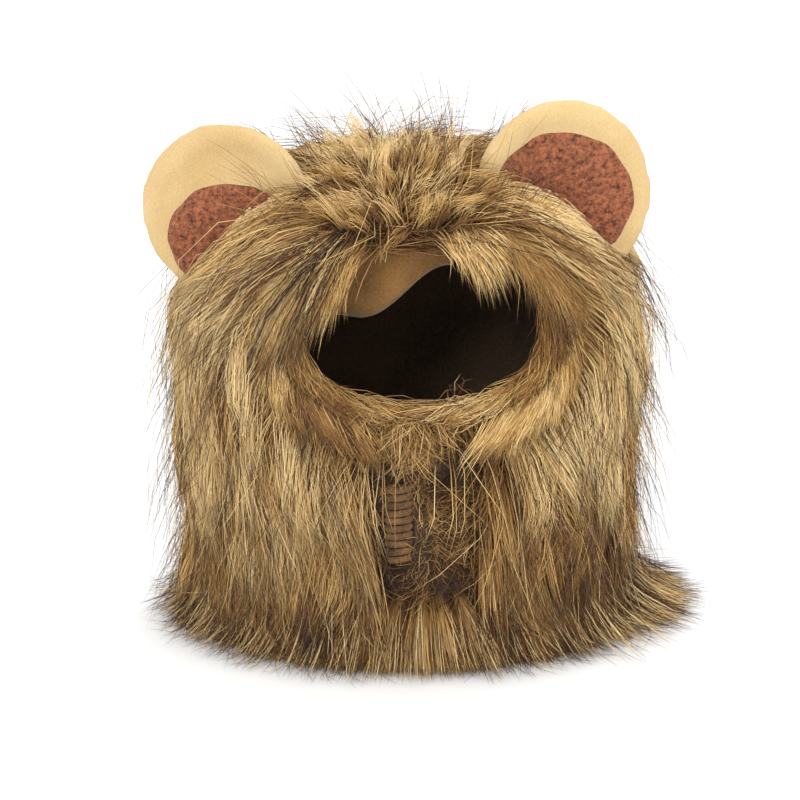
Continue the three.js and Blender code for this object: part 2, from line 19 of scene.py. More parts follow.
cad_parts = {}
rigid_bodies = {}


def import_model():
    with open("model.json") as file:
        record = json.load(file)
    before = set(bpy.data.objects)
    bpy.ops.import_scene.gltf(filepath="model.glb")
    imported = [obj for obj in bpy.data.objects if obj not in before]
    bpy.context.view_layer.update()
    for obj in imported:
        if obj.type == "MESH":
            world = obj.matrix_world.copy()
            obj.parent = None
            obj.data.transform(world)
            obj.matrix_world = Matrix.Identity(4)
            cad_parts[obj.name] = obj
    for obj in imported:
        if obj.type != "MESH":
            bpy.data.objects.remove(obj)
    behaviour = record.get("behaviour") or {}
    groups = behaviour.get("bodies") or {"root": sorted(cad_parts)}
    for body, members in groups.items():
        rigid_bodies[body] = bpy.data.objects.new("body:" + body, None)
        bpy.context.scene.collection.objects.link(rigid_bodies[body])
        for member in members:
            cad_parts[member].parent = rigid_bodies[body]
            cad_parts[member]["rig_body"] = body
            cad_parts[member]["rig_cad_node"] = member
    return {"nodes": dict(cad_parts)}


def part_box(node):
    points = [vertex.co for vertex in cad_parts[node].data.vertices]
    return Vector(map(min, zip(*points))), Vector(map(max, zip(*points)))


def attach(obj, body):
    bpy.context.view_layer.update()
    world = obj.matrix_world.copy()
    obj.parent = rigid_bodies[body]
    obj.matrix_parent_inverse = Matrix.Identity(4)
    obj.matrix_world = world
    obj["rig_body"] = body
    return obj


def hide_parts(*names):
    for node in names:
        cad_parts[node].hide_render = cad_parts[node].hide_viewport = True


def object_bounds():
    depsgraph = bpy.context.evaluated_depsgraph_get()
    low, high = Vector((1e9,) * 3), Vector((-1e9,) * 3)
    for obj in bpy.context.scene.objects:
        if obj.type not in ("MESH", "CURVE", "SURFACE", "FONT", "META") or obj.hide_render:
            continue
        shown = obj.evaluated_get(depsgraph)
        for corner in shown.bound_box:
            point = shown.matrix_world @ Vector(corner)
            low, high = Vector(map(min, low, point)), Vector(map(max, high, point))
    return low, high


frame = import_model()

MM = 0.001
nodes = frame["nodes"]
cad_box = [list(corner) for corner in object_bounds()]
print("nodes:", sorted(nodes))
print("size of the hood in mm:", [round((b - a) / MM, 1) for a, b in zip(*cad_box)])

# %% [markdown]
# ## The hood's shape as a formula
# Fur grows out of a surface and lies along it, so the surface is needed as a formula and not only as a
# mesh. The hood is a stack of sections, each two half ellipses, one for the front and one for the back. A
# point on it has an angle, which is zero at the face and grows to the viewer's right, and a level, which
# counts the sections from the hem up. Curves through the table's columns join the sections.

# %% The hood's sections
HOOD_SECTIONS = [
    {"rise": 0.0, "width": 1.05, "front": 1.08, "back": 1.12},
    {"rise": 0.1, "width": 1.0, "front": 1.01, "back": 1.04},
    {"rise": 0.28, "width": 0.97, "front": 0.97, "back": 0.98},
    {"rise": 0.46, "width": 0.98, "front": 0.97, "back": 0.97},
    {"rise": 0.62, "width": 1.0, "front": 1.0, "back": 1.0},
    {"rise": 0.75, "width": 0.98, "front": 0.94, "back": 0.98},
    {"rise": 0.86, "width": 0.89, "front": 0.8, "back": 0.89},
    {"rise": 0.94, "width": 0.71, "front": 0.6, "back": 0.7},
    {"rise": 0.985, "width": 0.42, "front": 0.34, "back": 0.41},
    {"rise": 1.0, "width": 0.0, "front": 0.0, "back": 0.0},
]
APEX = len(HOOD_SECTIONS) - 1
FRONT_DEPTH = 54 * MM
lining_low, lining_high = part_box("hood_lining")
HOOD_HEIGHT = lining_high.z
HALF_WIDTH = (lining_high.x - lining_low.x) / 2 / HOOD_SECTIONS[0]["width"]
AXIS_X = (lining_high.x + lining_low.x) / 2
AXIS_Y = lining_low.y + FRONT_DEPTH * HOOD_SECTIONS[0]["front"]
BACK_DEPTH = (lining_high.y - AXIS_Y) / HOOD_SECTIONS[0]["back"]
print(f"half width {HALF_WIDTH:.4f}, back depth {BACK_DEPTH:.4f}, axis at {AXIS_X:.4f}, {AXIS_Y:.4f}")


def column(name, level):
    """One column of the table as a smooth curve, at any level."""
    values = np.array([row[name] for row in HOOD_SECTIONS])
    slopes = np.gradient(values)
    level = np.clip(level, 0, APEX)
    low = np.minimum(level.astype(int), APEX - 1)
    t = level - low
    return ((2 * t**3 - 3 * t**2 + 1) * values[low] + (t**3 - 2 * t**2 + t) * slopes[low]
            + (3 * t**2 - 2 * t**3) * values[low + 1] + (t**3 - t**2) * slopes[low + 1])


def unit(vectors):
    return vectors / np.maximum(np.linalg.norm(vectors, axis=-1, keepdims=True), 1e-12)


def cloth_point(angle, level):
    """Points of the outer face of the lining."""
    facing = np.cos(angle)
    depth = np.where(facing > 0, FRONT_DEPTH * column("front", level), BACK_DEPTH * column("back", level))
    return np.stack([AXIS_X + HALF_WIDTH * column("width", level) * np.sin(angle),
                     AXIS_Y - depth * facing,
                     HOOD_HEIGHT * column("rise", level)], axis=-1)


def cloth_frame(angle, level):
    """How the cloth runs round and up at a place, and its outward normal."""
    turn, climb = 0.01, 0.02
    level = np.minimum(level, APEX - 2 * climb)
    below = np.maximum(level - climb, 0)
    around = (cloth_point(angle + turn, level) - cloth_point(angle - turn, level)) / (2 * turn)
    upward = cloth_point(angle, level + climb) - cloth_point(angle, below)
    upward = upward / (level + climb - below)[:, None]
    return around, upward, unit(np.cross(around, upward))


def offset_point(angle, level, offset):
    """The cloth pushed out by an offset, with the hem kept on the floor."""
    point = cloth_point(angle, level) + cloth_frame(angle, level)[2] * np.reshape(offset, (-1, 1))
    point[level <= 0, 2] = 0
    return point


def front_place(x, z):
    """The angle and level of the cloth behind a place of the front view, with x from the hood's axis."""
    levels = np.linspace(0, APEX, 600)
    level = np.interp(z, HOOD_HEIGHT * column("rise", levels), levels)
    share = x / (HALF_WIDTH * column("width", level))
    return np.arcsin(np.clip(share, -0.97, 0.97)), level


# %% The face opening, from its rolled edge
ROLL_WIDTH = 9 * MM
FACE_SQUARENESS = 2.6
roll_low, roll_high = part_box("face_roll")
FACE_X = (roll_low.x + roll_high.x) / 2
FACE_Z = (roll_low.z + roll_high.z) / 2
FACE_HALF_WIDTH = (roll_high.x - roll_low.x) / 2 - ROLL_WIDTH
FACE_HALF_HEIGHT = (roll_high.z - roll_low.z) / 2 - ROLL_WIDTH
CLOTH_WALL = 3.4 * MM


def face_outline(turn, margin):
    """x and z of the opening's outline, grown by a margin."""
    c, s = np.cos(turn), np.sin(turn)
    x = (FACE_HALF_WIDTH + margin) * np.sign(c) * np.abs(c) ** (2 / FACE_SQUARENESS)
    z = (FACE_HALF_HEIGHT + margin) * np.sign(s) * np.abs(s) ** (2 / FACE_SQUARENESS)
    return FACE_X + x, FACE_Z + z


def face_margin(points):
    """How far points lie outside the opening, seen from the front. The back counts as far away."""
    dx, dz = points[..., 0] - FACE_X, points[..., 2] - FACE_Z
    size = (np.abs(dx / FACE_HALF_WIDTH) ** FACE_SQUARENESS
            + np.abs(dz / FACE_HALF_HEIGHT) ** FACE_SQUARENESS) ** (1 / FACE_SQUARENESS)
    margin = np.hypot(dx, dz) * (1 - 1 / np.maximum(size, 1e-6))
    return np.where(points[..., 1] < AXIS_Y, margin, 1.0)


print(f"face opening {2 * FACE_HALF_WIDTH / MM:.0f} by {2 * FACE_HALF_HEIGHT / MM:.0f} mm")
print(f"its middle is {FACE_Z / MM:.0f} mm high")

# %% [markdown]
# ## Finishes
# Each finish is a small node tree. A helper adds a node and links it in one line, so that each tree reads
# as a recipe. Colours are written as a screen's hex codes and turned into the linear values that Blender
# mixes.


# %% Node helpers
def linear(code):
    """A hex colour of the screen in linear values, with alpha."""
    shares = [int(code[at:at + 2], 16) / 255 for at in (0, 2, 4)]
    return [s / 12.92 if s <= 0.04045 else ((s + 0.055) / 1.055) ** 2.4 for s in shares] + [1.0]


def new_finish(name, roughness, sheen=0.0):
    """A material with its shader, ready for a colour and a bump."""
    material = bpy.data.materials.new(name)
    material.use_nodes = True
    shader = material.node_tree.nodes["Principled BSDF"]
    shader.inputs["Roughness"].default_value = roughness
    shader.inputs["Sheen Weight"].default_value = sheen
    shader.inputs["Sheen Roughness"].default_value = 0.5
    return material, material.node_tree, shader


def add(tree, kind, links=(), **settings):
    """Adds a node, sets what is named and links (socket, source) pairs into it."""
    node = tree.nodes.new(kind)
    for key, value in settings.items():
        setattr(node, key, value)
    for socket, source in links:
        tree.links.new(source, node.inputs[socket])
    return node


def ramp(tree, source, stops):
    """A colour ramp with (place, hex colour) stops."""
    node = add(tree, "ShaderNodeValToRGB", [(0, source)])
    elements = node.color_ramp.elements
    while len(elements) < len(stops):
        elements.new(0.5)
    for element, (place, code) in zip(elements, stops):
        element.position = place
        element.color = linear(code)
    return node.outputs["Color"]


# %% Patterns and bumps
def noise(tree, scale, detail, roughness=0.55):
    """Noise on the object's own coordinates, in features per metre."""
    place = add(tree, "ShaderNodeTexCoord").outputs["Object"]
    node = add(tree, "ShaderNodeTexNoise", [("Vector", place)])
    node.inputs["Scale"].default_value = scale
    node.inputs["Detail"].default_value = detail
    node.inputs["Roughness"].default_value = roughness
    return node.outputs["Fac"]


def mix_colour(tree, share, first, second, blend="MIX"):
    """Mixes the second colour into the first by a share, which may be a number or a socket."""
    node = add(tree, "ShaderNodeMix", data_type="RGBA", blend_type=blend)
    for socket, source in (("Factor", share), (6, first), (7, second)):
        if isinstance(source, (int, float)):
            node.inputs[socket].default_value = source
        else:
            tree.links.new(source, node.inputs[socket])
    return node.outputs[2]


def bump(tree, shader, height, depth):
    """Lets a height pattern tilt the light on a surface, as if it were this deep."""
    node = add(tree, "ShaderNodeBump", [("Height", height)])
    node.inputs["Distance"].default_value = depth
    node.inputs["Strength"].default_value = 1.0
    tree.links.new(node.outputs["Normal"], shader.inputs["Normal"])


# %% [markdown]
# ### Fur
# A hair's colour depends on two things: how far along it a point lies, and which hair it is. Both are
# stored in the strand's own UV map. Its v runs from the dark root over the tan middle to the black tip, and
# its u is the hair's tone, from black-brown over tan to golden. One material then serves every strand,
# however it lies.

# %% The fur's finish
HAIR_MAP = "OFBake"
ALONG_A_HAIR = [(0.0, "3a281b"), (0.08, "735738"), (0.2, "bfa06c"), (0.42, "f8e3b6"), (0.76, "f4dcaa"),
                (0.88, "8f6c46"), (0.95, "2c211c"), (1.0, "141112")]
TONE_OF_A_HAIR = [(0.0, "2b1f1b"), (0.2, "654634"), (0.4, "b08f62"), (0.56, "e6d0a6"), (0.74, "fffcf0"),
                  (0.86, "ffd58c"), (1.0, "d08f4a")]


def hair_finish():
    """The colour along a hair times the colour of the hair's tone, with little shine."""
    material, tree, shader = new_finish("mane_hair", 0.6, 0.08)
    place = add(tree, "ShaderNodeUVMap", uv_map=HAIR_MAP).outputs["UV"]
    axes = add(tree, "ShaderNodeSeparateXYZ", [(0, place)])
    along = ramp(tree, axes.outputs["Y"], ALONG_A_HAIR)
    tone = ramp(tree, axes.outputs["X"], TONE_OF_A_HAIR)
    tree.links.new(mix_colour(tree, 1.0, along, tone, "MULTIPLY"), shader.inputs["Base Color"])
    shader.inputs["Specular IOR Level"].default_value = 0.2
    return material


# %% [markdown]
# ### Cloths
# The lining is a brushed dark cloth, the ears are velour, whose nap catches light at the edges, and the
# patches are terry, whose loops make a mottled, grainy surface. Sheen gives the soft edge light, and fine
# noise the nap.

# %% The cloths' finishes
def paler_near(tree, colour, place, reach, pale):
    """Mixes a paler colour in round a place, and lets it fade out with distance."""
    here = add(tree, "ShaderNodeTexCoord").outputs["Object"]
    gap = add(tree, "ShaderNodeVectorMath", [(0, here)], operation="DISTANCE")
    gap.inputs[1].default_value = place
    near = add(tree, "ShaderNodeMapRange", [("Value", gap.outputs["Value"])],
               interpolation_type="SMOOTHSTEP")
    for socket, value in (("From Min", 0.3 * reach), ("From Max", reach), ("To Min", 1.0), ("To Max", 0.0)):
        near.inputs[socket].default_value = value
    share = near.outputs["Result"]
    return mix_colour(tree, share, colour, ramp(tree, share, [(0.0, pale), (1.0, pale)]))


def cloth_finish(name, dark, light, grain, depth, sheen=0.3, patches=25.0, pale=None):
    """A napped cloth: broad patches of tone, fine mottling, and a fine bump."""
    material, tree, shader = new_finish(name, 0.95, sheen)
    broad = noise(tree, patches, 2.0)
    fine = noise(tree, grain, 4.0, 0.7)
    both = add(tree, "ShaderNodeMath", [(0, broad), (1, fine)], operation="ADD").outputs[0]
    half = add(tree, "ShaderNodeMath", [(0, both)], operation="MULTIPLY")
    half.inputs[1].default_value = 0.5
    colour = ramp(tree, half.outputs[0], [(0.36, dark), (0.62, light)])
    if pale:
        colour = paler_near(tree, colour, *pale)
    tree.links.new(colour, shader.inputs["Base Color"])
    bump(tree, shader, fine, depth)
    return material


PALE_LINING = ((AXIS_X + 44 * MM, AXIS_Y - 30 * MM, FACE_Z + 14 * MM), 34 * MM, "d9b47c")
finishes = {
    "hair": hair_finish(),
    "lining": cloth_finish("lining_cloth", "3a291c", "66503a", 900.0, 0.3 * MM, 0.2, pale=PALE_LINING),
    "backing": cloth_finish("fur_backing", "2a1d14", "4b3726", 700.0, 0.8 * MM, 0.0),
    "ear": cloth_finish("ear_velour", "c09d66", "d6bb88", 1400.0, 0.25 * MM, 0.12, 30.0),
    "brow": cloth_finish("brow_velour", "6f4a1c", "a87b42", 1100.0, 0.3 * MM, 0.4, 40.0),
    "patch": cloth_finish("patch_terry", "451c0e", "b76d46", 900.0, 1.0 * MM, 0.15, 520.0),
    "strip": cloth_finish("matted_strip", "170e0a", "3e2a1c", 600.0, 0.8 * MM, 0.1, 90.0),
    "tab": cloth_finish("tab_thread", "3b2512", "84603a", 1800.0, 0.2 * MM, 0.1, 200.0),
}
print("finishes:", sorted(finishes))

# %% [markdown]
# ## Sheets of cloth
# The lining, the fur's backing and the brow fold are cloth, so each is one sheet of points that follows the
# hood's formula, given its wall by Solidify. The face opening is cut by leaving out the faces inside it and
# drawing the edge's points onto the opening's outline.


# %% Making a sheet
SHEET_SEGMENTS = 76
SHEET_ROWS = 46


def mesh_object(name, points, faces):
    """A mesh of points and faces as a new object in the scene."""
    mesh = bpy.data.meshes.new(name)
    mesh.from_pydata([tuple(p) for p in points], [], faces)
    mesh.update()
    piece = bpy.data.objects.new(name, mesh)
    bpy.context.scene.collection.objects.link(piece)
    return piece


def pick(piece):
    """Selects one object alone and makes it active."""
    bpy.ops.object.select_all(action="DESELECT")
    piece.select_set(True)
    bpy.context.view_layer.objects.active = piece


def finish_with(piece, kind, **settings):
    """Adds a modifier and applies it."""
    pick(piece)
    modifier = piece.modifiers.new(kind.lower(), kind)
    for key, value in settings.items():
        setattr(modifier, key, value)
    bpy.ops.object.modifier_apply(modifier=modifier.name)


# %% Grids of points
def grid_faces(rows, columns, joined):
    """The quads of a grid of points, row after row. A joined grid closes on itself."""
    spans = columns if joined else columns - 1
    return [(row * columns + at, row * columns + (at + 1) % columns,
             (row + 1) * columns + (at + 1) % columns, (row + 1) * columns + at)
            for row in range(rows - 1) for at in range(spans)]


def grid_of(first, second, **order):
    """Each pair of two rows of values, as two flat arrays."""
    return [grid.ravel() for grid in np.meshgrid(first, second, **order)]


def tidy_mesh(piece):
    """Merges doubles, drops loose points and turns the faces outwards."""
    shape = bmesh.new()
    shape.from_mesh(piece.data)
    bmesh.ops.remove_doubles(shape, verts=shape.verts, dist=0.01 * MM)
    bmesh.ops.delete(shape, geom=[v for v in shape.verts if not v.link_faces], context="VERTS")
    bmesh.ops.recalc_face_normals(shape, faces=shape.faces)
    shape.to_mesh(piece.data)
    shape.free()


# %% The hood as a sheet
def hood_sheet(name, offset, wall, creases):
    """A hood of cloth at an offset from the lining's outer face, open at the neck and the face."""
    angle, level = grid_of(np.linspace(0, 2 * np.pi, SHEET_SEGMENTS, endpoint=False),
                           np.linspace(0, APEX - 0.05, SHEET_ROWS))
    ripple = (np.sin(5 * angle + 0.9 * level) * np.cos(2.3 * angle - 1.1 * level)
              + 0.5 * np.sin(11 * angle + 2.1 * level))
    points = offset_point(angle, level, offset - creases * (1 + 0.6 * ripple))
    place = cloth_point(angle, level)
    inside = face_margin(place) < ROLL_WIDTH
    faces = [face for face in grid_faces(SHEET_ROWS, SHEET_SEGMENTS, True) if not all(inside[list(face)])]
    edge = sorted({at for face in faces for at in face if inside[at]})
    across = (place[edge, 0] - FACE_X) / FACE_HALF_WIDTH
    upward = (place[edge, 2] - FACE_Z) / FACE_HALF_HEIGHT
    x, z = face_outline(np.arctan2(upward, across), ROLL_WIDTH)
    points[edge] = offset_point(*front_place(x - AXIS_X, z), np.full(len(edge), offset))
    points[edge, 0], points[edge, 2] = x, z
    top = list(range((SHEET_ROWS - 1) * SHEET_SEGMENTS, SHEET_ROWS * SHEET_SEGMENTS))
    piece = mesh_object(name, points, [*faces, top])
    tidy_mesh(piece)
    finish_with(piece, "SOLIDIFY", thickness=wall, offset=-1.0)
    for vertex in piece.data.vertices:
        vertex.co.z = max(vertex.co.z, 0.0)
    return piece


# %% Dressing a piece
def dress(piece, finish, slot, *replaced):
    """Gives a piece its finish and its body, and hides the CAD nodes that it stands for. The slot is not
    used.
    """
    piece.data.materials.clear()
    piece.data.materials.append(finishes[finish])
    piece.data.shade_smooth()
    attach(piece, "root")
    if replaced:
        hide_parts(*replaced)
    piece.data.update()
    triangles = sum(len(p.vertices) - 2 for p in piece.data.polygons)
    print(f"{piece.name}: {triangles} triangles")


# %% The lining and the fur's backing
LINING_WALL = 2 * MM
lining = hood_sheet("lining", 0.0, LINING_WALL * 0.8, 0.5 * MM)
dress(lining, "lining", "lining", "hood_lining")
backing = hood_sheet("fur_backing", CLOTH_WALL, CLOTH_WALL * 0.7, 0.3 * MM)
dress(backing, "backing", "pile")

# %% [markdown]
# ### The brow fold
# Behind the opening's top the velour has come loose and sags into view, lower at the left. It is a curtain
# of points between its seat under the crown and a lower edge that climbs to the right, with shallow folds
# and a soft hem.

# %% The brow fold
brow_low, brow_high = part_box("brow_lining")
BROW_COLUMNS = 32
BROW_ROWS = 15


def brow_fold():
    """The sagging velour: across runs to the right and fall down, both from 0 to 1."""
    across, fall = grid_of(np.linspace(0, 1, BROW_COLUMNS), np.linspace(0, 1, BROW_ROWS))
    x = brow_low.x + (brow_high.x - brow_low.x) * across
    height = brow_high.z - brow_low.z
    climb = 0.5 - 0.5 * np.cos(np.pi * np.clip((across - 0.3) / 0.65, 0, 1))
    bottom = brow_low.z - 8 * MM + 22 * MM * climb
    z = brow_high.z - 1 * MM - (brow_high.z - bottom) * fall
    seat = offset_point(*front_place(x - AXIS_X, z), np.full(len(x), -LINING_WALL - 1.5 * MM))[:, 1]
    top = seat.reshape(BROW_ROWS, BROW_COLUMNS)[0]
    hang = np.tile(top, BROW_ROWS) + (1 * MM + 2.2 * MM * np.sin(across * 7.5 + 0.6)) * fall
    hem = 2.5 * MM * np.clip((fall - 0.85) / 0.15, 0, 1) ** 2
    y = np.maximum(seat, hang) + hem - 0.8 * MM * np.sin(fall * 9 + across * 5)
    faces = grid_faces(BROW_ROWS, BROW_COLUMNS, False)
    piece = mesh_object("brow_fold", np.stack([x, y, z], axis=-1), faces)
    finish_with(piece, "SOLIDIFY", thickness=2.4 * MM, offset=0.0)
    finish_with(piece, "SUBSURF", levels=1, render_levels=1)
    print("brow fold height in mm:", round(height / MM, 1))
    return piece


brow = brow_fold()
dress(brow, "brow", "velour", "brow_lining")

# %% [markdown]
# ## Fur
# A coat this deep can't be a texture: its outline, its locks and the shadow between them are what the eye
# reads. So every strand is real, a three-sided spike of a few segments. Strands are worked out many at a
# time as arrays. Roots are sown over the cloth, each strand walks along the comb of the coat while it lifts
# off the cloth, and then it is drawn towards its lock's middle strand, which gives the pointed locks with
# dark gaps between them.

# %% Sowing roots
# Roots are drawn evenly over angles and levels. The more cloth a radian and a level span at a root's place,
# as a share of SOW_AREA in square metres, the likelier it stays.
QUICK_SHARE = 1.0
SOW_BATCH = 40000
SOW_AREA = 0.004
ALONG = np.linspace(0, 1, 4)[None, :, None]


def sow(count, wanted, seed, levels=(0.0, APEX - 0.25)):
    """Angles and levels of roots spread over the cloth, with a density from 0 to 1 at each place."""
    dice = np.random.default_rng(seed)
    angles, heights, found = [], [], 0
    while found < count:
        angle = dice.uniform(0, 2 * np.pi, SOW_BATCH)
        level = dice.uniform(*levels, SOW_BATCH)
        around, upward, _ = cloth_frame(angle, level)
        area = np.linalg.norm(np.cross(around, upward), axis=-1)
        keep = dice.uniform(0, 1, SOW_BATCH) * SOW_AREA < area * wanted(cloth_point(angle, level))
        angles.append(angle[keep])
        heights.append(level[keep])
        found += keep.sum()
    return np.concatenate(angles)[:count], np.concatenate(heights)[:count]


# %% [markdown]
# ### The comb of the coat
# The pile parts at two whorls over the brow. Near them it runs away from the whorl, so it sweeps over the
# ears' lower edges and past the face's upper corners. Further off it turns down.

# %% The comb
WHORL_PLACES = np.array([[-19.0, 7.0], [9.0, 4.0]]) * MM + [0, FACE_Z + FACE_HALF_HEIGHT]
WHORLS = cloth_point(*front_place(*WHORL_PLACES.T))
print("whorls in mm:", np.round(WHORLS / MM).tolist())


def fade(value, start, end):
    """0 before start, 1 after end, smooth between them."""
    t = np.clip((value - start) / (end - start), 0, 1)
    return t * t * (3 - 2 * t)


def whorl_distance(point):
    """How far a point lies from the nearer whorl."""
    return np.min(np.linalg.norm(point[:, None] - WHORLS, axis=-1), axis=1)


def comb_direction(point, normal):
    """The way the pile lies: away from the brow's whorls near the face, and down elsewhere."""
    gaps = point[:, None] - WHORLS
    reach = np.linalg.norm(gaps, axis=-1, keepdims=True)
    away = unit(np.sum(gaps / np.maximum(reach, 4 * MM) ** 3, axis=1))
    spread = reach.min(axis=(1, 2)) / HALF_WIDTH
    facing = fade(AXIS_Y - point[:, 1], -0.4 * FRONT_DEPTH, 0.9 * FRONT_DEPTH)
    share = np.maximum(facing * (1 - fade(spread, 0.6, 1.45)), 0.75 * (1 - fade(spread, 0.3, 0.9)))
    comb = away * share[:, None]
    comb[:, 2] -= 1 - share
    comb -= normal * np.sum(comb * normal, axis=-1, keepdims=True)
    return unit(comb)


def swirl(point):
    """A gentle, regular unrest in the comb, in radians."""
    x, y, z = (point / MM).T
    return (0.2 * np.sin(x / 13 + z / 19 + 1.3) * np.cos(y / 15 - z / 27)
            + 0.1 * np.sin(x / 6.3 - y / 8.1 + z / 11.7))


def patchiness(point):
    """Broad lighter and darker patches of the coat, from -1 to 1."""
    x, y, z = (point / MM).T
    return (0.6 * np.sin(x / 14 + 0.8) * np.cos(z / 19 + y / 16) + 0.4 * np.sin(x / 6.1 + z / 8.3 + y / 7.7))


# %% Walking a strand over the cloth
def floor_splay(angle):
    """How far strands that pass the hem run out over the floor: most at the right, least at the front."""
    right = np.exp(-(((angle - math.radians(98)) / math.radians(34)) ** 2))
    back = 0.5 - 0.5 * np.cos(angle)
    return 0.1 + 0.14 * back + 0.42 * right


def walk(angle, level, length, loft, stray, dice):
    """Strands that follow the comb over the cloth, and run out over the floor past the hem."""
    steps = ALONG.size - 1
    run = np.zeros(len(angle))
    stride = length / (2 * steps)
    lie = dice.uniform(0.2, 1.0, len(angle))
    points = np.empty((len(angle), steps + 1, 3))
    for step in range(2 * steps + 1):
        share = step / (2 * steps)
        around, upward, normal = cloth_frame(angle, level)
        point = cloth_point(angle, level)
        rise = np.sin(min(1, 1.5 * share) * np.pi / 2) * (1 - 0.15 * share)
        lift = CLOTH_WALL - 0.5 * MM + loft * rise
        lift += 5 * MM * (1 - fade(face_margin(point), 8 * MM, 24 * MM)) * (1 - 0.5 * share)
        flat = unit(normal * [1, 1, 0])
        grounded = (run > 0)[:, None]
        place = point + np.where(grounded, flat * (0.8 * lift + run)[:, None], normal * lift[:, None])
        place[:, 2] = np.maximum(place[:, 2], (0.8 + 5 * lie * (1 - 0.7 * share)) * MM)
        if step % 2 == 0:
            points[:, step // 2] = place
        comb = comb_direction(point, normal)
        turn = stray + swirl(point)
        sideways = np.cross(normal, comb)
        move = (comb * np.cos(turn)[:, None] + sideways * np.sin(turn)[:, None]) * stride[:, None]
        angle = angle + np.sum(move * around, -1) / np.sum(around**2, -1)
        climb = np.sum(move * upward, -1) / np.sum(upward**2, -1)
        past = level + climb < 0
        left = np.where(level > 0, 1 - level / np.maximum(-climb, 1e-9), 1.0) * stride
        run = run + np.where(past, left * floor_splay(angle % (2 * np.pi)), 0)
        level = np.clip(level + climb, 0, APEX - 0.2)
    return points


# %% [markdown]
# Some strands would lie where the hood shows something else. Those that hide the upper part of an ear, hang
# in the face opening or cross the closure are found by where they pass, and left out.

# %% Keeping strands off the ears, the face and the closure
# Lengths are in millimetres and turns in degrees. out, ahead and high give the ear's middle. cover is the way
# from it to the side that fur covers in the front view, and gap how far along that way the fur starts. patch
# is the patch's radius, and across and up give its middle on the ear.
EARS = [
    {"side": "left", "radius": 36.1, "widen": 1.02, "out": -71.4, "ahead": 6.0, "high": 169.3, "yaw": -16,
     "pitch": -7, "roll": 5, "cover": (0.74, -0.67), "gap": 9.0,
     "patch": 21.2, "patch_widen": 1.22, "across": 1.0, "up": -10.0},
    {"side": "right", "radius": 39.8, "widen": 0.95, "out": 59.0, "ahead": 6.0, "high": 175.3, "yaw": 14,
     "pitch": -7, "roll": -14, "cover": (-0.61, -0.79), "gap": 7.5,
     "patch": 26.0, "patch_widen": 1.1, "across": 0.4, "up": -0.4},
]
# Seen from 20 degrees above, a depth shows as a third of its length, and a height almost whole.
DEPTH_SEEN = 0.34
HEIGHT_SEEN = 0.94
EAR_FRONT = 6 * MM
EAR_BACK = 12 * MM
STRIP_LEFT, STRIP_RIGHT = -14 * MM, 26 * MM
STRIP_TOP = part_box("closure_strip")[1].z
print("ears:", [(ear["side"], ear["radius"]) for ear in EARS], "closure up to", round(STRIP_TOP / MM, 1))


# %% The ears' own frames
def ear_axes(ear):
    """The ear's centre, and its three axes as rows: across, through (backwards) and up."""
    yaw, pitch = math.radians(ear["yaw"]), math.radians(ear["pitch"])
    turn = np.array([[math.cos(yaw), -math.sin(yaw), 0], [math.sin(yaw), math.cos(yaw), 0], [0, 0, 1]])
    nod = np.array([[1, 0, 0], [0, math.cos(pitch), -math.sin(pitch)], [0, math.sin(pitch), math.cos(pitch)]])
    centre = np.array([AXIS_X + ear["out"] * MM, AXIS_Y - ear["ahead"] * MM, ear["high"] * MM])
    return centre, (turn @ nod).T


def ear_reach(ear, points):
    """Points in the ear's own frame, and their distance from its middle as a share of its radius."""
    centre, axes = ear_axes(ear)
    local = (points - centre) @ axes.T
    return local, np.hypot(local[..., 0] / ear["widen"], local[..., 2]) / (ear["radius"] * MM)


def clear_of_ears(points, dice):
    """Strands rooted before an ear pass over its front, the others behind its back."""
    for ear in EARS:
        centre, axes = ear_axes(ear)
        local, reach = ear_reach(ear, points)
        before = local[:, :1, 1] < 0
        near = 1 - fade(reach, 0.97, 1.22)
        stand = dice.uniform(0, 5, (len(points), 1)) * MM
        wanted = np.where(before, np.minimum(local[..., 1], -EAR_FRONT - stand),
                          np.maximum(local[..., 1], EAR_BACK + stand))
        local[..., 1] += (wanted - local[..., 1]) * near
        points = local @ axes + centre
    return points


# %% Strands that would hide something
def hides_ear(points, slack):
    """Whether a strand crosses the part of an ear that shows, further than a slack in metres."""
    hidden = np.zeros(len(points), bool)
    for ear in EARS:
        centre, _ = ear_axes(ear)
        local, reach = ear_reach(ear, points)
        gap = points - centre
        screen = np.stack([gap[..., 0], DEPTH_SEEN * gap[..., 1] + HEIGHT_SEEN * gap[..., 2]], -1)
        beyond = screen @ np.array(ear["cover"]) < ear["gap"] * MM - slack[:, None]
        hidden |= np.any((local[..., 1] < 0) & (reach < 1.04) & beyond, axis=1)
    return hidden


def hangs_in_face(points):
    """Whether a strand hangs in the face opening. The upper left corner may hold some."""
    margin = face_margin(points)
    corner = (points[..., 0] < FACE_X - 15 * MM) & (points[..., 2] > FACE_Z - 9 * MM)
    return np.any(margin < np.where(corner, -9 * MM, -1.5 * MM), axis=1)


def crosses_closure(points, slack):
    """Whether a strand passes over the closure, further in from its sides than a slack in metres."""
    x = points[..., 0] - AXIS_X
    inside = (x > STRIP_LEFT + slack[:, None]) & (x < STRIP_RIGHT - 3 * MM - slack[:, None])
    return np.any(inside & (points[..., 2] < STRIP_TOP + 8 * MM) & (points[..., 1] < AXIS_Y), axis=1)


# %% Drawing strands into locks
def gather(points, guides, hold):
    """Draws each strand towards the nearest guide strand, more and more towards the tip."""
    tree = KDTree(len(guides))
    for at, guide in enumerate(guides):
        tree.insert(guide[0], at)
    tree.balance()
    nearest = np.array([tree.find(root)[1] for root in points[:, 0]])
    share = fade(np.linspace(0, 1, points.shape[1]), -0.1, 1.0)[None, :, None] * hold[:, None, None]
    return points + (guides[nearest] - points) * share, nearest


